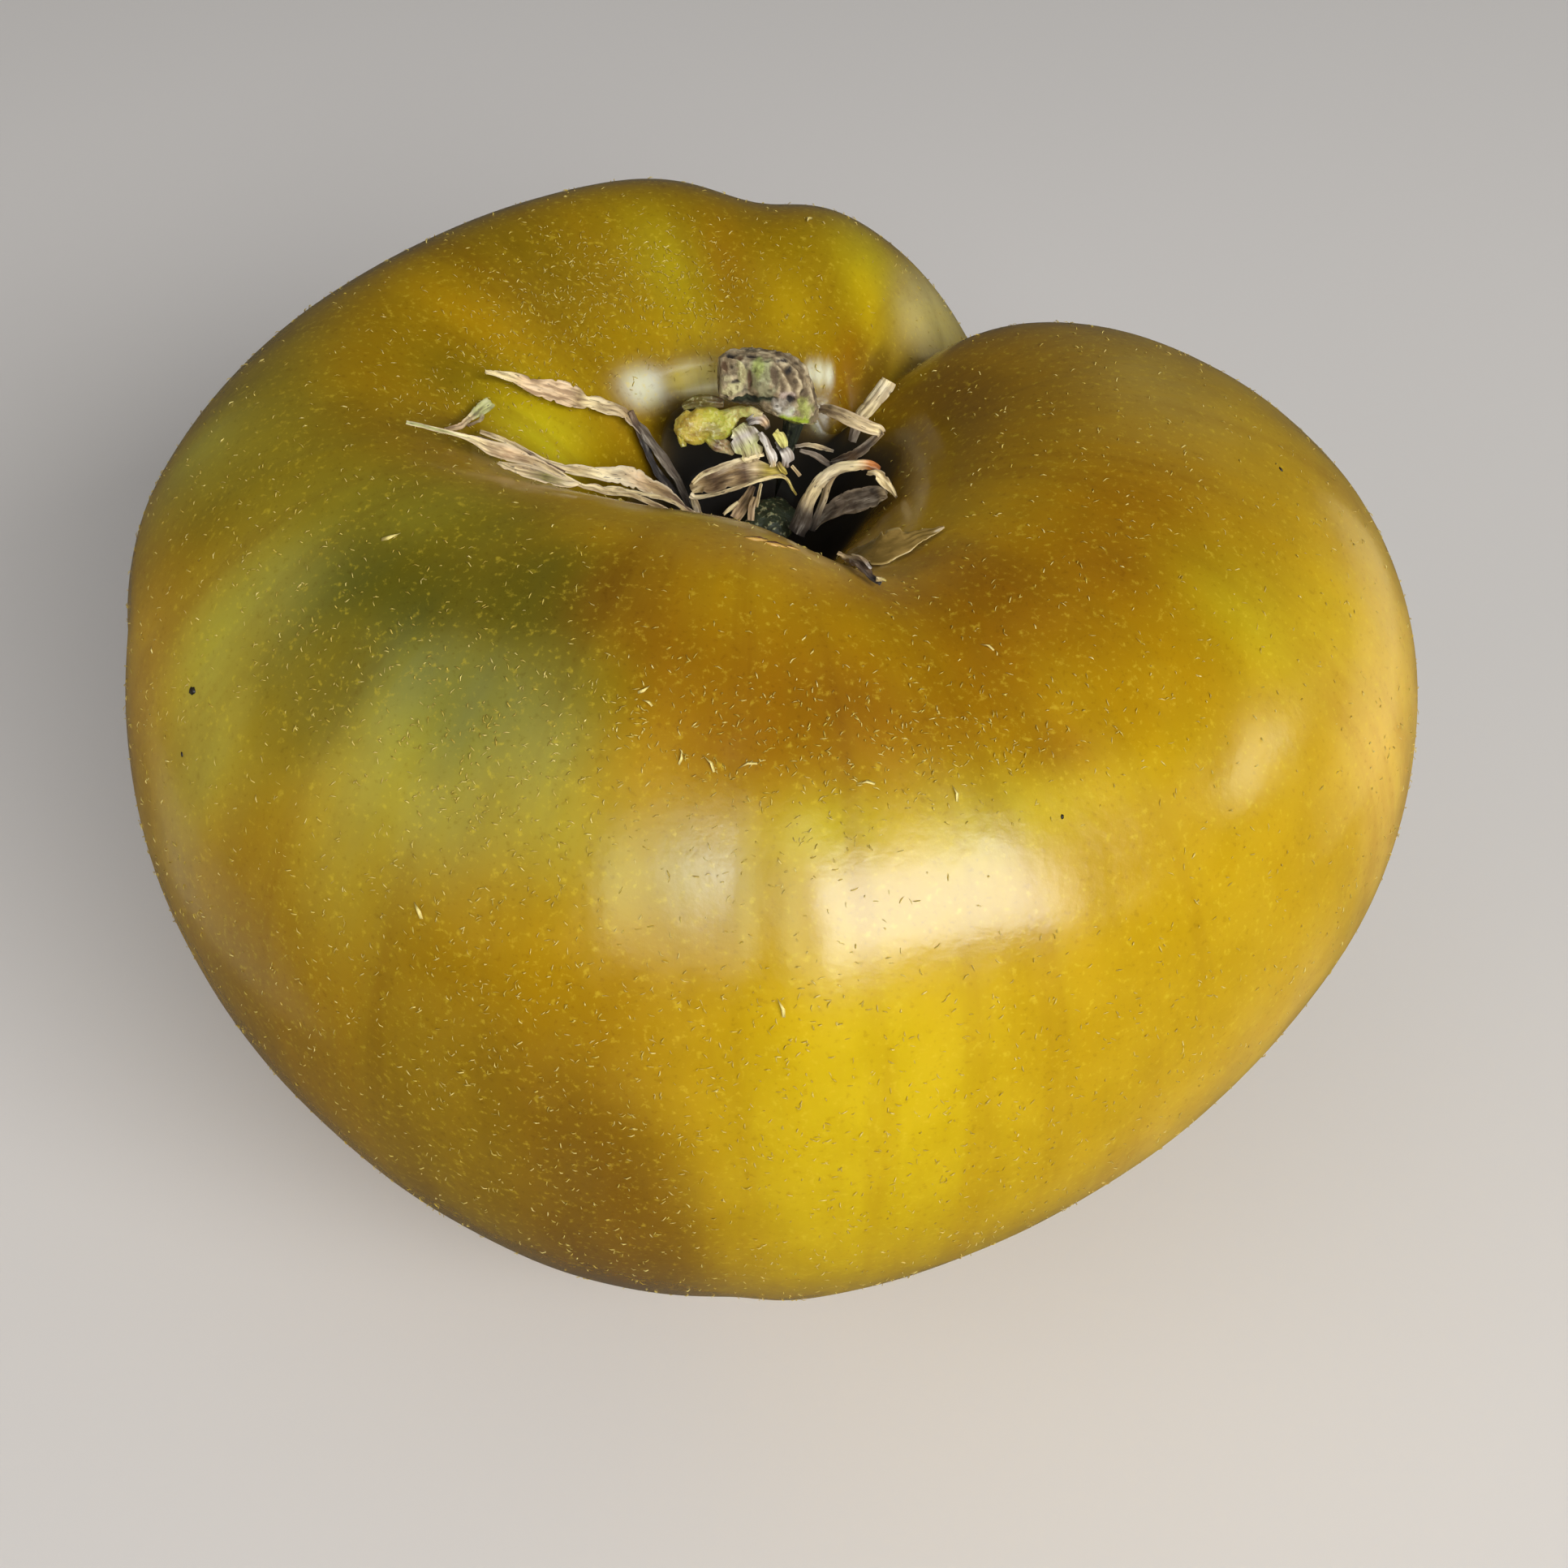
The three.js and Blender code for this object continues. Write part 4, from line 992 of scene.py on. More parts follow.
                 tones=((0, CREAM), (1, PALE)), seed=46),
        ),
    ),
    dict(
        node="receptacle_sheath", slot="grey_sepal", faces=(0, -0.7, 0.7), cup=0.15, ragged=0.16,
        wrinkle=0.22, seed=13, heart=0.35,
        spine=((-3.7, 15, 67.2, 1.2), (-3.4, 14.8, 66.8, 2), (-3.1, 14.4, 66.3, 2.4), (-2.8, 14, 65.8, 2.4),
               (-2.6, 13.7, 65.3, 1.9), (-2.4, 13.5, 64.9, 1)),
        tones=((0, PALE_GREEN), (0.3, LAVENDER), (0.6, PALE_GREEN), (1, PALE)),
        strands=(
            dict(spine=((-2.9, 14.8, 67.7, 0.6), (-2.3, 15, 67.9, 0.8), (-1.7, 15, 67.8, 0.8),
                        (-1.3, 14.7, 67.2, 0.5)),
                 tones=((0, DARK), (0.4, LAVENDER), (0.8, PINKISH), (1, DARK)), seed=47),
            dict(spine=((-1.9, 14.3, 67.1, 0.45), (-1.5, 14, 66.6, 0.8), (-1.3, 13.6, 66, 0.7),
                        (-1, 13.2, 65.3, 0.7), (-0.9, 12.9, 64.8, 0.5)),
                 tones=((0, LAVENDER), (0.4, WHITISH), (0.8, WHITISH), (1, CREAM)),
                 ragged=0.4, heart=0.5, seed=48),
            dict(spine=((-0.7, 13.7, 67.7, 0.6), (-0.3, 13.5, 67.4, 0.9), (0, 13.3, 66.9, 0.8),
                        (0.1, 13.3, 66.5, 0.5)),
                 tones=((0, BUTTER), (0.6, PALE_LEAF), (1, BUTTER)), heart=0.1, seed=49),
            dict(spine=((-0.7, 13.6, 66.7, 0.5), (-0.1, 13.3, 66.2, 0.9), (0.2, 13.1, 65.5, 1),
                        (0.1, 12.9, 64.8, 0.7)),
                 tones=((0, LAVENDER), (0.3, DARK), (0.5, WHITISH), (0.8, LAVENDER), (1, BROWN)),
                 ragged=0.4, heart=0.5, seed=56),
            dict(spine=((-0.5, 13.2, 65, 0.35), (-0.1, 12.9, 64.5, 0.42), (0.2, 12.8, 64.1, 0.22)),
                 tones=((0, BROWN), (0.5, YOLK)), seed=50),
        ),
    ),
    dict(
        node="receptacle_lobe", slot="fleshy_tissue", faces=(0, -0.7, 0.7), cup=-0.12, ragged=0.08,
        wrinkle=0.13, seed=14, thickness=0.9, heart=0.15, pale_edges=0.5,
        spine=((-8.7, 15.6, 66.7, 1.3), (-8, 15.4, 66.9, 2.4), (-7, 15.3, 67, 3), (-5.8, 15.4, 67, 3),
               (-4.8, 15.7, 67.1, 2.4), (-4.1, 16, 67.5, 1.4), (-3.4, 15.9, 67.9, 1),
               (-2.5, 15.4, 68.3, 0.8), (-1.7, 15, 68.4, 0.3)),
        tones=((0, YOLK), (0.2, OCHRE), (0.42, LEAF), (0.55, LEAF), (0.68, PALE_LEAF), (0.85, PALE_LEAF),
               (1, CREAM)),
        strands=(
            dict(spine=((-8.2, 15, 66.5, 0.8), (-8.1, 14.6, 66, 0.6), (-8, 14.3, 65.7, 0.4)),
                 tones=((0, OCHRE), (1, LEAF)), thickness=0.6, seed=51),
            dict(spine=((-6.2, 14.9, 66.2, 0.6), (-5.3, 14.6, 65.8, 1.3), (-4.5, 14.5, 65.4, 1),
                        (-4, 14.4, 65, 0.6)),
                 tones=((0, LEAF), (0.4, BROWN), (0.8, CREAM), (1, TAN)), thickness=0.5, seed=52),
            dict(spine=((-8.1, 16.9, 67.6, 0.5), (-7.2, 17, 68, 1), (-6, 16.9, 68.2, 1.1),
                        (-4.8, 16.7, 68.2, 0.7)),
                 tones=((0.5, MOSSY), (1, BROWN)), thickness=0.6, seed=53),
        ),
    ),
    dict(
        node="petal_scrap", slot="petal_film", faces=(-0.3, -0.2, 0.9), cup=0.02, ragged=0.14, wrinkle=0.05,
        seed=15, thickness=0.1, pale_edges=1.0, heart=0,
        spine=((11.5, -3, 72.2, 0.2), (10.7, -3.2, 72, 0.7), (9.9, -3.4, 71.9, 1.3), (8.8, -4.1, 71.8, 2.1),
               (7.8, -4.1, 71.5, 3), (6.7, -3.8, 70.8, 3), (5.9, -2.9, 69.8, 2.4), (5.3, -1.3, 68.3, 1.6),
               (4.8, 0.4, 66.8, 0.7)),
        tones=((0, TAN), (0.5, TAWNY)),
    ),
    dict(
        node="sepal_crumb", slot="grey_sepal", faces=(0.1, 0.3, 0.9), cup=0.2, ragged=0.16, wrinkle=0.10,
        seed=16, pale_edges=0.2, heart=0.3,
        spine=((3.8, -6.1, 72.4, 0.5), (4.6, -6.6, 72.3, 0.95), (5.1, -8, 73.2, 0.95),
               (5.5, -9.7, 74.1, 0.8), (6, -10.6, 74.2, 0.6), (6.6, -11.2, 74.3, 0.5)),
        tones=((0.2, TAN), (0.35, BROWN), (0.7, BROWN), (0.9, DARK)),
        strands=(
            dict(spine=((4.8, -6.5, 72.7, 0.25), (5.4, -8, 73.6, 0.35), (5.9, -9.8, 74.4, 0.3)),
                 tones=((0, PALE), (0.6, PINKISH), (1, LAVENDER)), heart=0, seed=54),
            dict(spine=((6.3, -11.2, 74.6, 0.4), (6.9, -11.1, 74.4, 0.4)),
                 tones=((0, CREAM), (1, YOLK)), heart=0, seed=55),
        ),
    ),
)
STRIP_DEFAULTS = dict(twist=(0, 0), thickness=0.22, pale_edges=0.35, heart=0.4)
STRIP_LEAST_WIDTH = 0.12
STRIP_ROWS_PER_SPAN = 14
STRIP_COLUMNS = 13
RIDGE_HEIGHT = 0.06
RIDGE_SPACING = 0.42                # between the lengthwise ribs
EDGE_WAVES = 0.55                   # slow waves of an edge in a millimetre
EDGE_NOTCHES = 1.9                  # torn notches in a millimetre, of which few are deep
NOTCH_LEVEL = 0.22
LEAST_REACH = 0.3                   # of half the width, where an edge is torn in deepest
WRINKLES = 0.9                      # in a millimetre
RIB_WANDER = (1.5, 0.6)             # how far the ribs wander, in radians, and how fast along a blade
NARROW_THICKNESS = 0.45             # the most that a blade's thickness is, as a share of its width
NARROW_RIDGE = 0.12                 # and that its ribs' height is
CURL_LEVEL = 0.35                   # lowers a curled blade, so that it lies about its spine


def smooth_curve(points, rows):
    """Rows of values on a curve through the points, at even steps of each span."""
    table = np.array(points, float)
    table = np.vstack([2 * table[0] - table[1], table, 2 * table[-1] - table[-2]])
    place = np.linspace(0, len(points) - 1, rows)
    first = np.minimum(place.astype(int), len(points) - 2)
    return catmull_rom(*(table[first + step] for step in range(4)), (place - first)[:, None])


def blended(stops, share):
    """Colours between (share, colour) stops."""
    places = [stop[0] for stop in stops]
    return np.stack([np.interp(share, places, [stop[1][i] for stop in stops]) for i in range(3)], -1)


def edge_reach(length, side, seed, ragged):
    """How far a blade's edge stands out, as a share of half its width. No two edges are torn alike."""
    wave = noise.noise(Vector((length * EDGE_WAVES, side * 7, seed * 13.7)))
    notch = max(0.0, noise.noise(Vector((length * EDGE_NOTCHES, side * 11, seed * 5.1))) - NOTCH_LEVEL)
    return max(LEAST_REACH, 1 + ragged * (2.0 * wave - 5.0 * notch))


def blade_frame(spine, faces, twist):
    """Rows along a blade: middle, width, length and its share so far, ways across it and out of its face."""
    curve = smooth_curve(spine, (len(spine) - 1) * STRIP_ROWS_PER_SPAN + 1)
    middle = curve[:, :3]
    width = np.maximum(curve[:, 3], STRIP_LEAST_WIDTH)
    length = np.concatenate([[0], np.cumsum(np.linalg.norm(np.diff(middle, axis=0), axis=1))])
    along = unit(np.gradient(middle, axis=0))
    across = unit(np.cross(along, np.array(faces, float)))
    outward = np.cross(across, along)
    share = length / length[-1]
    turn = np.radians(twist[0] + (twist[1] - twist[0]) * share)[:, None]
    twisted_across = across * np.cos(turn) + outward * np.sin(turn)
    twisted_outward = outward * np.cos(turn) - across * np.sin(turn)
    return middle, width, length, share, twisted_across, twisted_outward


def blade_body(spine, faces, cup, twist, tones, ragged, wrinkle, seed, thickness, pale_edges, heart):
    """One thin ribbed blade: its faces, points, colours, places on the blade and nearness to its edges."""
    middle, width, length, share, across, outward = blade_frame(spine, faces, twist)
    base = blended(tones, share)
    thickness = np.minimum(thickness, width * NARROW_THICKNESS)
    lanes = np.linspace(-1, 1, STRIP_COLUMNS)
    points, colours, places, edges = [], [], [], []
    for row, wide in enumerate(width):
        left, right = (edge_reach(length[row], side, seed, ragged) for side in (1, 2))
        for side in (1, -1):
            for lane in lanes[::side]:
                reach = lane * (right if lane > 0 else left) * wide / 2
                wander = RIB_WANDER[0] * math.sin(length[row] * RIB_WANDER[1] + seed)
                rib = math.cos(2 * math.pi * reach / RIDGE_SPACING + wander)
                crumple = noise.noise(Vector((length[row] * WRINKLES, lane * 1.3 + seed, seed * 3.1)))
                thin = math.sqrt(max(1 - lane * lane, 0.04))
                curl = cup * wide * (lane * lane - CURL_LEVEL)
                ribbed = min(RIDGE_HEIGHT, wide * NARROW_RIDGE) * rib * thin
                lift = curl + ribbed + 2 * wrinkle * crumple * wide ** 0.5 + side * thickness[row] * thin / 2
                # painted shade in the folded middle of the blade
                dark = heart * (1 - lane * lane) * (0.55 + 0.45 * rib) * (0.6 + crumple)
                points.append(middle[row] + across[row] * reach + outward[row] * lift)
                colours.append(base[row] * (1 - clamped(dark) * np.array(HEART_LOSS)))
                places.append((reach, length[row], seed * 5.3 + side))
                edges.append(abs(lane) * pale_edges)
    sides = 2 * STRIP_COLUMNS
    points += [np.mean(points[:sides], axis=0), np.mean(points[-sides:], axis=0)]
    for values in (colours, places, edges):
        values += [values[0], values[-1]]
    return loft(len(width), sides), points, colours, places, edges


def build_strip(node, slot, strands=(), **blade):
    """A dried sepal: its blade and the strands that have come loose from it."""
    faces, points, colours, places, edges = [], [], [], [], []
    for own in ({}, *strands):
        own_faces, *values = blade_body(**{**STRIP_DEFAULTS, **blade, **own})
        faces += [tuple(len(points) + corner for corner in face) for face in own_faces]
        for kept, more in zip((points, colours, places, edges), values):
            kept.extend(more)
    piece = add_piece(node + "_fine", node, slot, points, faces)
    store_colours(piece, "tone", colours)
    store(piece, "blade", "FLOAT_VECTOR", places)
    store(piece, "edge", "FLOAT", edges)


FIBRE_STRETCH = (1.0, 0.14, 1.0)    # fibres run along a blade, so they change slowly that way
VEIN_STRETCH = (1.0, 0.5, 1.0)
VEIN_DARK = (0.32, 0.24, 0.18)
FIBRE_PALE = (0.95, 0.86, 0.70)
CRACK_DARK = (0.07, 0.045, 0.03)
SPECK_DARK = (0.06, 0.04, 0.03)
CORK_DARK = (0.26, 0.19, 0.12)
CORK_PALE = (0.70, 0.62, 0.46)
PIT_DARK = (0.10, 0.06, 0.04)
FLESH_DARK = (0.40, 0.28, 0.08)
FLESH_PALE = (0.80, 0.78, 0.42)
FILM_BROWN = (0.185, 0.115, 0.018)
FILM_TAN = (0.29, 0.185, 0.04)
FILM_EDGE = (0.52, 0.38, 0.13)


def dry_material(name, edge_colour, roughness=0.8, vein_strength=0.75, specks=0.5):
    """Dried leaf tissue: long fibres, dark specks and pale edges over the strip's own tone. The pale edges
    are paler margins with painted light where the curled edges catch it.
    """
    n = Nodes(name)
    lengthwise = n.stretched(n.attribute("blade", "Vector"), FIBRE_STRETCH)
    fibres = n.noise(lengthwise, 3.4, 3.0, 0.55)
    cracks = n.noise(lengthwise, 7.5, 2.0, 0.5)
    blotch = n.noise(n.place(), 900, 3.0, 0.6)
    veins = n.ramp(fibres, 0.36, 0.58, vein_strength, 0.0)
    colour = n.mix(veins, n.attribute("tone"), VEIN_DARK, "MULTIPLY")
    colour = n.mix(n.ramp(fibres, 0.55, 0.72, 0.0, 0.3), colour, FIBRE_PALE)
    colour = n.mix(n.ramp(cracks, 0.36, 0.30, 0.0, 0.8), colour, CRACK_DARK)
    colour = n.mix(n.ramp(blotch, 0.34, 0.28, 0.0, specks), colour, SPECK_DARK)
    # pale margins and painted light on the curled edges
    pale_and_lit_edge = n.math("MULTIPLY", n.ramp(n.attribute("edge", "Fac"), 0.5, 0.9), n.ramp(blotch, 0.3, 0.5))
    colour = n.mix(pale_and_lit_edge, colour, edge_colour)
    height = n.math("ADD", fibres, n.math("MULTIPLY", blotch, 0.5))
    n.set(Base_Color=colour, Roughness=n.ramp(fibres, 0.3, 0.7, roughness, roughness - 0.15))
    n.set(Normal=n.bump(height, 0.00012, 0.8), Specular_IOR_Level=0.35, Sheen_Weight=0.08)
    return n.material


def cork_material():
    """Dry cork of the stem stub: pits and ridges on its own tones."""
    n = Nodes("cork")
    place = n.place()
    grain = n.noise(place, 700, 6.0, 0.7)
    pits = n.ramp(n.cells(place, 1300), 0.35, 0.12)
    colour = n.mix(n.ramp(grain, 0.40, 0.60, 0.7, 0.0), n.attribute("tone"), CORK_DARK, "MULTIPLY")
    colour = n.mix(n.ramp(grain, 0.58, 0.75, 0.0, 0.35), colour, CORK_PALE)
    colour = n.mix(n.math("MULTIPLY", pits, 0.35), colour, PIT_DARK, "MULTIPLY")
    height = n.math("SUBTRACT", grain, n.math("MULTIPLY", pits, 0.5))
    n.set(Base_Color=colour, Roughness=0.85, Normal=n.bump(height, 0.0002, 0.9), Specular_IOR_Level=0.3)
    return n.material


def fleshy_material(name):
    """Half dried green tissue, bumpy and a little moist."""
    n = Nodes(name)
    place = n.place()
    bumps = n.noise(place, 800, 4.0, 0.6)
    fine = n.noise(place, 2600, 3.0)
    colour = n.mix(n.ramp(bumps, 0.35, 0.55, 0.7, 0.0), n.attribute("tone"), FLESH_DARK, "MULTIPLY")
    colour = n.mix(n.ramp(fine, 0.55, 0.72, 0.0, 0.5), colour, FLESH_PALE)
    n.set(Base_Color=colour, Roughness=n.ramp(fine, 0.3, 0.7, 0.65, 0.45))
    n.set(Normal=n.bump(n.math("ADD", bumps, fine), 0.00018, 0.8))
    n.set(Subsurface_Weight=0.15, Subsurface_Scale=0.001)
    return n.material


def film_material():
    """Thin brown film of a dried petal, a little glossy all over, with paler edges."""
    n = Nodes("petal_film")
    veins = n.noise(n.stretched(n.attribute("blade", "Vector"), VEIN_STRETCH), 1.1, 4.0, 0.6)
    colour = n.mix(n.ramp(veins, 0.4, 0.65), (*FILM_BROWN, 1), FILM_TAN)
    colour = n.mix(n.ramp(n.attribute("edge", "Fac"), 0.86, 0.97), colour, FILM_EDGE)
    n.set(Base_Color=colour, Roughness=0.5, Normal=n.bump(veins, 0.0001, 0.6))
    return n.material


# The stem stub: spine of (x, y, z, radius) from the receptacle to the cut end.
STEM_SPINE = (
    (-0.8, 14.3, 60.2, 1.1), (-0.6, 14.9, 62.6, 1.1), (0.1, 15.4, 64.8, 1.35), (0.6, 15.8, 66.7, 1.75),
    (0.4, 16.2, 68.8, 2.1), (-0.9, 16.5, 70.5, 2.3), (-3, 16.5, 70.9, 2.15), (-5.2, 16.3, 70.9, 2),
)
STEM_ROWS = 150
STEM_SIDES = 110
STEM_END_SHARE = 0.55               # how wide the stub is at its very ends
# Flats broken or cut on the stub: (way it looks, a point on it).
STEM_FLATS = (
    ((-0.42, -0.74, 0.52), (-2.9, 14.8, 71.5)),
    ((0.0, 0.1, 1.0), (-2.0, 16.0, 72.8)),
    ((-1.0, -0.12, 0.1), (-5.05, 16.0, 70.9)),
    ((0.75, -0.3, 0.6), (1.35, 15.6, 71.5)),
    ((-0.25, -0.45, -0.85), (-3.2, 14.9, 69.2)),
)
STEM_FLAT_PRESS = 0.9               # how nearly flat they are
STEM_LUMPS = (0.55, 0.26)           # how many in a millimetre, and how high
STEM_GRAIN = (2.3, 0.14)
STEM_WOBBLES = 1.4                  # in a millimetre, of the edges of ridges and marks
STEM_FRONT = (0.0, -0.67, 0.74)     # the way the stub's marked front looks
STEM_RISE = (0.0, 0.74, 0.67)       # and the way up along that front
# BARK darkens the grooves between the bark's ridges and BARK_PALE lightens their crests: the bark's own
# brown with painted shade in the grooves and painted light on the crests
BARK = (0.20, 0.145, 0.08)
BARK_PALE = (0.66, 0.55, 0.34)
BARK_CENTRE = (-2.4, 57.9)          # the ridges of the bark run round this place on the front
BARK_STARTS = 2.0
BARK_ABOVE = 67.0
RIDGE_WIDTH = 0.85
RIDGE_LIFT = 0.2
STEM_GREEN_BELOW = 67.6             # the stalk under the stub is green,
STEM_DARK_BELOW = 67.3              # and dark green from here down
# Marks on the front of the stub: (x, rise, half width, half height, colour, dent in mm).
STEM_MARKS = (
    (-1.7, 59.4, 1.2, 1.5, (0.36, 0.37, 0.19), 0.0),
    (-2.0, 60.0, 0.42, 1.0, (0.40, 0.47, 0.14), 0.0),
    (-1.4, 58.4, 0.65, 0.8, (0.58, 0.60, 0.36), -0.05),
    (-3.5, 59.4, 0.4, 1.15, (0.74, 0.72, 0.38), -0.12),
    (-4.3, 58.5, 0.8, 0.42, (0.68, 0.64, 0.34), -0.12),
    (-4.7, 59.2, 0.4, 0.17, (0.60, 0.55, 0.32), -0.08),
    (-4.2, 61.2, 0.35, 0.3, DARK, 0.18),
    (-2.5, 61.3, 0.42, 0.22, DARK, 0.16),
    (-3.4, 61.0, 0.25, 0.35, BROWN, 0.10),
    (-4.9, 60.2, 0.22, 0.5, BROWN, 0.10),
    (-2.7, 59.0, 0.18, 0.8, BROWN, 0.14),
    (-4.0, 58.9, 0.5, 0.14, DARK, 0.12),
    (-0.75, 59.4, 0.4, 1.0, (0.13, 0.09, 0.05), 0.16),
    (-0.2, 60.7, 0.5, 0.22, DARK, 0.14),
    (0.4, 60.0, 0.22, 0.4, DARK, 0.14),
    # a dark green line under the knob of the stub: painted shade on its underside over its own dark green
    (-2.6, 57.7, 2.3, 0.2, DARK_GREEN, 0.12),
    (0.2, 58.0, 0.75, 0.28, (0.62, 0.50, 0.42), -0.14),
    (-0.35, 57.3, 0.55, 0.5, (0.66, 0.64, 0.56), -0.12),
    (0.4, 56.9, 0.5, 0.45, (0.60, 0.60, 0.48), -0.12),
    (0.55, 57.7, 0.3, 0.27, DARK, 0.30),
    (1.6, 57.1, 0.6, 0.9, (0.46, 0.50, 0.14), 0.0),
    (0.7, 56.1, 1.4, 0.7, (0.38, 0.50, 0.03), -0.08),
    (-0.9, 56.0, 0.4, 0.5, DARK_GREEN, 0.15),
    (1.4, 55.4, 0.55, 0.5, CREAM, -0.15),
    (1.35, 55.35, 0.33, 0.3, DARK, 0.30),
)


def stem_surface():
    """Rows of points round the stub, each with the way out from its spine, before flats and marks."""
    curve = smooth_curve(STEM_SPINE, STEM_ROWS)
    middle, radius = curve[:, :3], curve[:, 3]
    along = unit(np.gradient(middle, axis=0))
    side = unit(np.cross(along, np.array((0.15, 1.0, 0.1))))
    other = np.cross(along, side)
    share = np.linspace(0, 1, STEM_ROWS)
    ends = np.minimum(1, STEM_END_SHARE + 6 * np.minimum(share, 1 - share)) ** 0.5
    turn = (np.arange(STEM_SIDES) * 2 * math.pi / STEM_SIDES)[None, :, None]
    away = side[:, None] * np.cos(turn) + other[:, None] * np.sin(turn)
    base = middle[:, None] + away * (radius * ends)[:, None, None]
    return base.reshape(-1, 3), away.reshape(-1, 3), middle[0]


def bark_ridges(x, rise, wobble):
    """How far the bark's curved ridges stand out, from 0 in the grooves to 1, and where there is bark."""
    across, up = x - BARK_CENTRE[0], rise - BARK_CENTRE[1]
    reach = math.hypot(across, up) + 0.35 * wobble
    ridge = 0.5 + 0.5 * math.cos(2 * math.pi * (reach - BARK_STARTS) / RIDGE_WIDTH)
    bark = clamped((reach - BARK_STARTS + 0.3) * 2) * clamped((across - 0.2) * 1.2)
    return ridge, bark * clamped((up + 0.6) * 2)


def pressed_flat(point):
    """A point of the stub, brought in where it stands past one of the flats."""
    for facing, on in STEM_FLATS:
        normal = np.array(facing) / np.linalg.norm(facing)
        over = float((point - np.array(on)) @ normal)
        if over > 0:
            point = point - normal * over * STEM_FLAT_PRESS
    return point


def stem_point(base, away):
    """A point of the stub's rough surface and its colour."""
    at = Vector(base)
    lump = noise.fractal(at * STEM_LUMPS[0], 0.9, 2.1, 3)
    grain = noise.fractal(at * STEM_GRAIN[0], 0.8, 2.1, 4)
    wobble = noise.noise(at * STEM_WOBBLES)
    x, rise = base[0], float(base @ np.array(STEM_RISE))
    front = clamped(float(away @ np.array(STEM_FRONT)) * 2.0 + 0.7)
    ridge, bark = bark_ridges(x, rise, wobble)
    ridged = bark * front * clamped(base[2] - BARK_ABOVE)
    rough = STEM_LUMPS[1] * lump + STEM_GRAIN[1] * grain
    point = pressed_flat(base + away * (rough + RIDGE_LIFT * ridged * (ridge - 0.5)))
    tone = np.array(BARK_PALE) * (0.62 + 0.5 * grain + 0.25 * lump)
    # painted shade in the grooves and painted light on the crests of the bark's ridges, over its brown
    tone = mixed(tone, mixed(BARK, BARK_PALE, ridge), ridged)
    tone = mixed(tone, LEAF, clamped((STEM_GREEN_BELOW - point[2]) * 1.2))
    for mark_x, mark_rise, wide, high, colour, dent in STEM_MARKS:
        off = math.hypot((x - mark_x) / wide, (rise - mark_rise) / high) + 0.5 * wobble + 0.25 * grain
        share = clamped(2.6 - 2.2 * off) * front
        point = point - away * dent * share
        tone = mixed(tone, colour, share)
    deep = clamped((STEM_DARK_BELOW - point[2] + 0.5 * wobble) * 0.9)
    return point, mixed(tone, DARK_GREEN, deep)


def build_stem():
    """The cut stub: mottled cork, curved bark ridges, pits, and the dark stalk that carries it."""
    bases, outs, foot = stem_surface()
    points, tones = (list(values) for values in zip(*map(stem_point, bases, outs)))
    points += [foot, np.mean(points[-STEM_SIDES:], axis=0)]
    tones += [tones[0], tones[-1]]
    piece = add_piece("stem_cork", "stem", "cork", points, loft(STEM_ROWS, STEM_SIDES))
    store_colours(piece, "tone", np.clip(tones, 0.005, 1))


RECEPTACLE_CENTRE = (-1.2, 13.4)
RECEPTACLE_PROFILE = ((0.6, 60.25), (1.3, 60.05), (2.2, 59.4), (2.5, 58.6), (1.8, 57.7), (0.6, 57.35))
RECEPTACLE_ROWS = 40
RECEPTACLE_SIDES = 60
RECEPTACLE_LOBES = (5, 0.08)        # how many, and how far they stand out as a share of the radius
RECEPTACLE_LUMPS = 0.12


def build_receptacle():
    """The dark green cushion that the sepals grow from, with five faint lobes."""
    points = []
    for radius, z in smooth_curve(RECEPTACLE_PROFILE, RECEPTACLE_ROWS):
        for i in range(RECEPTACLE_SIDES):
            turn = 2 * math.pi * i / RECEPTACLE_SIDES
            across, back = math.cos(turn), math.sin(turn)
            reach = radius * (1 + RECEPTACLE_LOBES[1] * math.cos(RECEPTACLE_LOBES[0] * turn))
            point = np.array((RECEPTACLE_CENTRE[0] + reach * across, RECEPTACLE_CENTRE[1] + reach * back, z))
            point += RECEPTACLE_LUMPS * noise.noise(Vector(point) * 0.9) * np.array((across, back, 0.4))
            points.append(point)
    points += [(*RECEPTACLE_CENTRE, RECEPTACLE_PROFILE[end][1]) for end in (0, -1)]
    faces = loft(RECEPTACLE_ROWS, RECEPTACLE_SIDES)
    piece = add_piece("receptacle_cushion", "receptacle", "receptacle_tissue", points, faces)
    store_colours(piece, "tone", [DARK_GREEN] * len(points))


# ---------- the stage ----------
CAMERA_ELEVATION = 48
CAMERA_DISTANCE = 173
CAMERA_TARGET = (0, 3, 38)
LENS_MM = 46
SENSOR_MM = 36
FLOOR_SIZE = 3.0                    # metres, as are the softboxes' sizes and distances
SOFTBOX_DISTANCE = 0.9
FLOOR_COLOUR = (0.70, 0.685, 0.67, 1)
FLOOR_ROUGHNESS = 0.9
SKY_COLOUR = (0.9, 0.95, 1.0, 1)
SKY_STRENGTH = 0.06
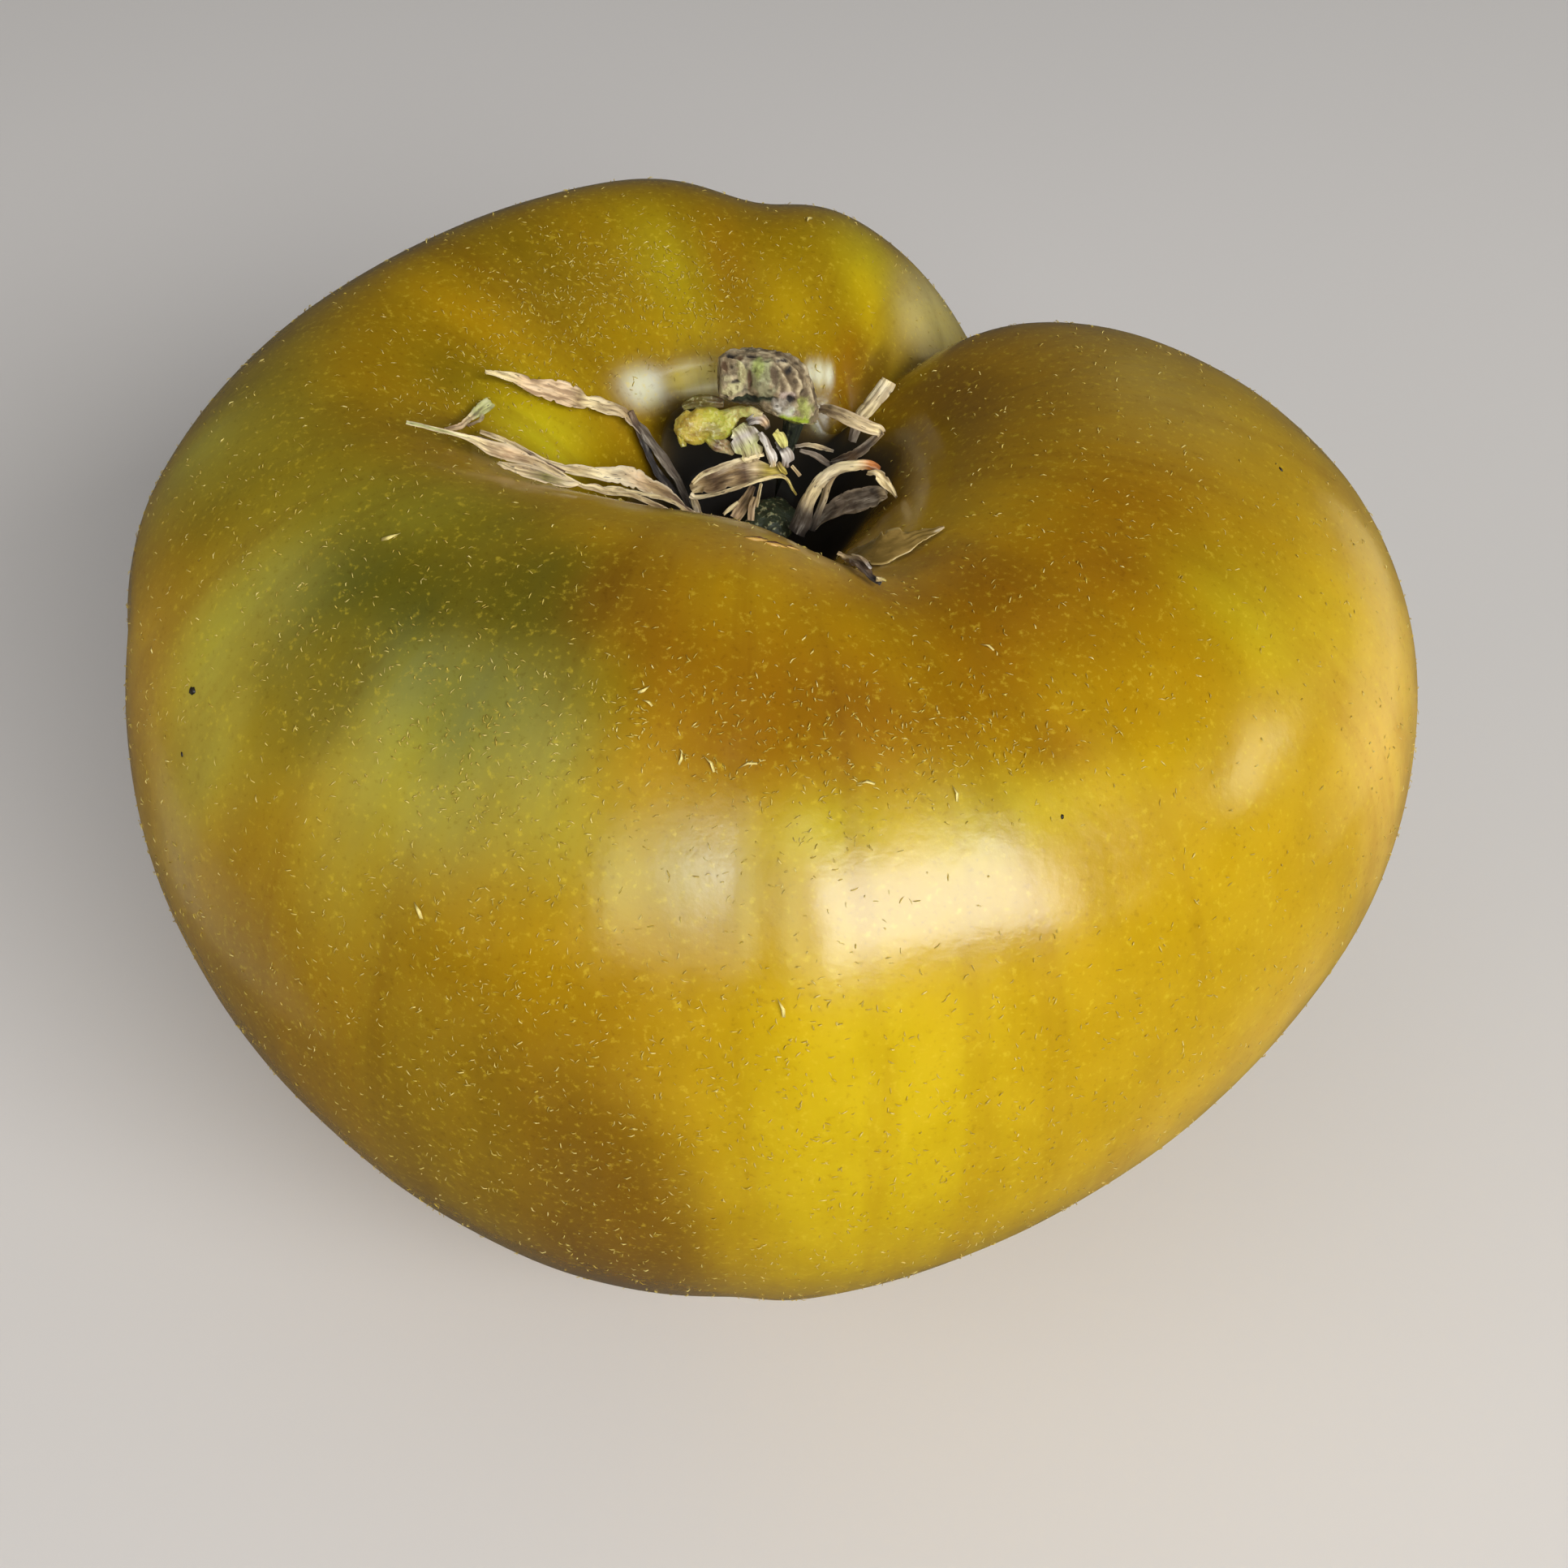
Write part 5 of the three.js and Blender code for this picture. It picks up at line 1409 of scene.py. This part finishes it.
# The softboxes with mirrored=False only light the scene. Those with shining=False only show in the
# skin's gloss: a window high at the front, and what is pale at the sides. The floor is left out of
# the gloss, so two of them are low enough to stand for it.
SOFTBOXES = (
    dict(name="key", azimuth=-57, elevation=36.5, size=(0.72, 0.32), watts=8.6,
         colour=(1.0, 0.97, 0.94), mirrored=False),
    dict(name="window", azimuth=-61, elevation=32.5, size=(0.72, 0.39), watts=15.5,
         colour=(0.86, 0.96, 1.0), shining=False),
    dict(name="window_left", azimuth=-93, elevation=34, size=(0.48, 0.62), watts=2.3,
         colour=(0.85, 1.0, 0.9), shining=False, shape="ELLIPSE"),
    dict(name="side", azimuth=-3, elevation=18, size=(0.22, 0.16), watts=1.0,
         colour=(1.0, 1.0, 0.6), shining=False),
    dict(name="window_gap", azimuth=-101, elevation=32, size=(0.14, 0.40), watts=0.9,
         colour=(0.85, 1.0, 0.5), shining=False, shape="ELLIPSE"),
    dict(name="right", azimuth=23, elevation=-11, size=(0.80, 0.34), watts=0.7,
         colour=(1.0, 0.88, 0.5), shining=False),
    dict(name="left", azimuth=205, elevation=22, size=(0.75, 0.45), watts=1.9,
         colour=(1.0, 0.93, 0.9), mirrored=False),
    dict(name="left_low", azimuth=177, elevation=-30, size=(0.50, 0.36), watts=0.2,
         colour=(1.0, 0.95, 0.65), shining=False),
    dict(name="above", azimuth=0, elevation=89, size=(1.6, 1.6), watts=3.4, distance=1.2,
         colour=(1.0, 0.98, 0.96), mirrored=False),
)


def aim(thing, azimuth, elevation, distance):
    """Puts a camera or a light, from the target towards an azimuth and elevation, to look at the target."""
    azimuth, elevation = math.radians(azimuth), math.radians(elevation)
    flat = math.cos(elevation)
    towards = Vector((flat * math.cos(azimuth), flat * math.sin(azimuth), math.sin(elevation)))
    thing.location = Vector(in_frame(CAMERA_TARGET)) + towards * distance
    thing.rotation_euler = (-towards).to_track_quat("-Z", "Y").to_euler()
    bpy.context.scene.collection.objects.link(thing)


def build_camera():
    """Looks down at the fruit from the front."""
    data = bpy.data.cameras.new("camera")
    data.lens = LENS_MM
    data.sensor_width = SENSOR_MM
    data.clip_start = 0.01
    camera = bpy.data.objects.new("camera", data)
    aim(camera, -90, CAMERA_ELEVATION, CAMERA_DISTANCE / MM_PER_METRE)
    bpy.context.scene.camera = camera


def add_softbox(name, azimuth, elevation, size, watts, colour,
                distance=SOFTBOX_DISTANCE, mirrored=True, shining=True, shape="RECTANGLE"):
    """A soft light that faces the middle of the scene."""
    data = bpy.data.lights.new(name, "AREA")
    data.shape = shape
    data.size, data.size_y = size
    data.energy = watts
    data.color = colour
    light = bpy.data.objects.new(name, data)
    light.visible_glossy = mirrored
    light.visible_diffuse = shining
    aim(light, azimuth, elevation, distance)


def build_stage():
    """A plain pale floor, a faint sky and the softboxes."""
    bpy.ops.mesh.primitive_plane_add(size=FLOOR_SIZE, location=(0, 0, 0))
    floor = bpy.context.object
    floor.name = "floor"
    paint = Nodes("floor")
    paint.set(Base_Color=FLOOR_COLOUR, Roughness=FLOOR_ROUGHNESS)
    floor.data.materials.append(paint.material)
    floor.visible_glossy = False
    world = bpy.data.worlds.new("world")
    world.use_nodes = True
    sky = world.node_tree.nodes["Background"]
    sky.inputs["Color"].default_value = SKY_COLOUR
    sky.inputs["Strength"].default_value = SKY_STRENGTH
    bpy.context.scene.world = world
    bpy.context.scene.view_settings.view_transform = "Standard"
    for softbox in SOFTBOXES:
        add_softbox(**softbox)


MATERIALS = {
    "tan_sepal": dry_material("tan_sepal", (0.66, 0.52, 0.32)),
    "cream_sepal": dry_material("cream_sepal", (0.78, 0.66, 0.44), vein_strength=0.6, specks=0.35),
    "grey_sepal": dry_material("grey_sepal", (0.56, 0.44, 0.29)),
    "fleshy_tissue": fleshy_material("fleshy_tissue"),
    "receptacle_tissue": fleshy_material("receptacle_tissue"),
    "petal_film": film_material(),
    "cork": cork_material(),
    "hairs": hair_material("hairs"),
    "spots": hair_material("spots"),
    "fruit_skin": fruit_skin_material(),
}
build_fruit()
build_hairs()
build_spots()
for strip in STRIPS:
    build_strip(**strip)
build_stem()
build_receptacle()
build_camera()
build_stage()
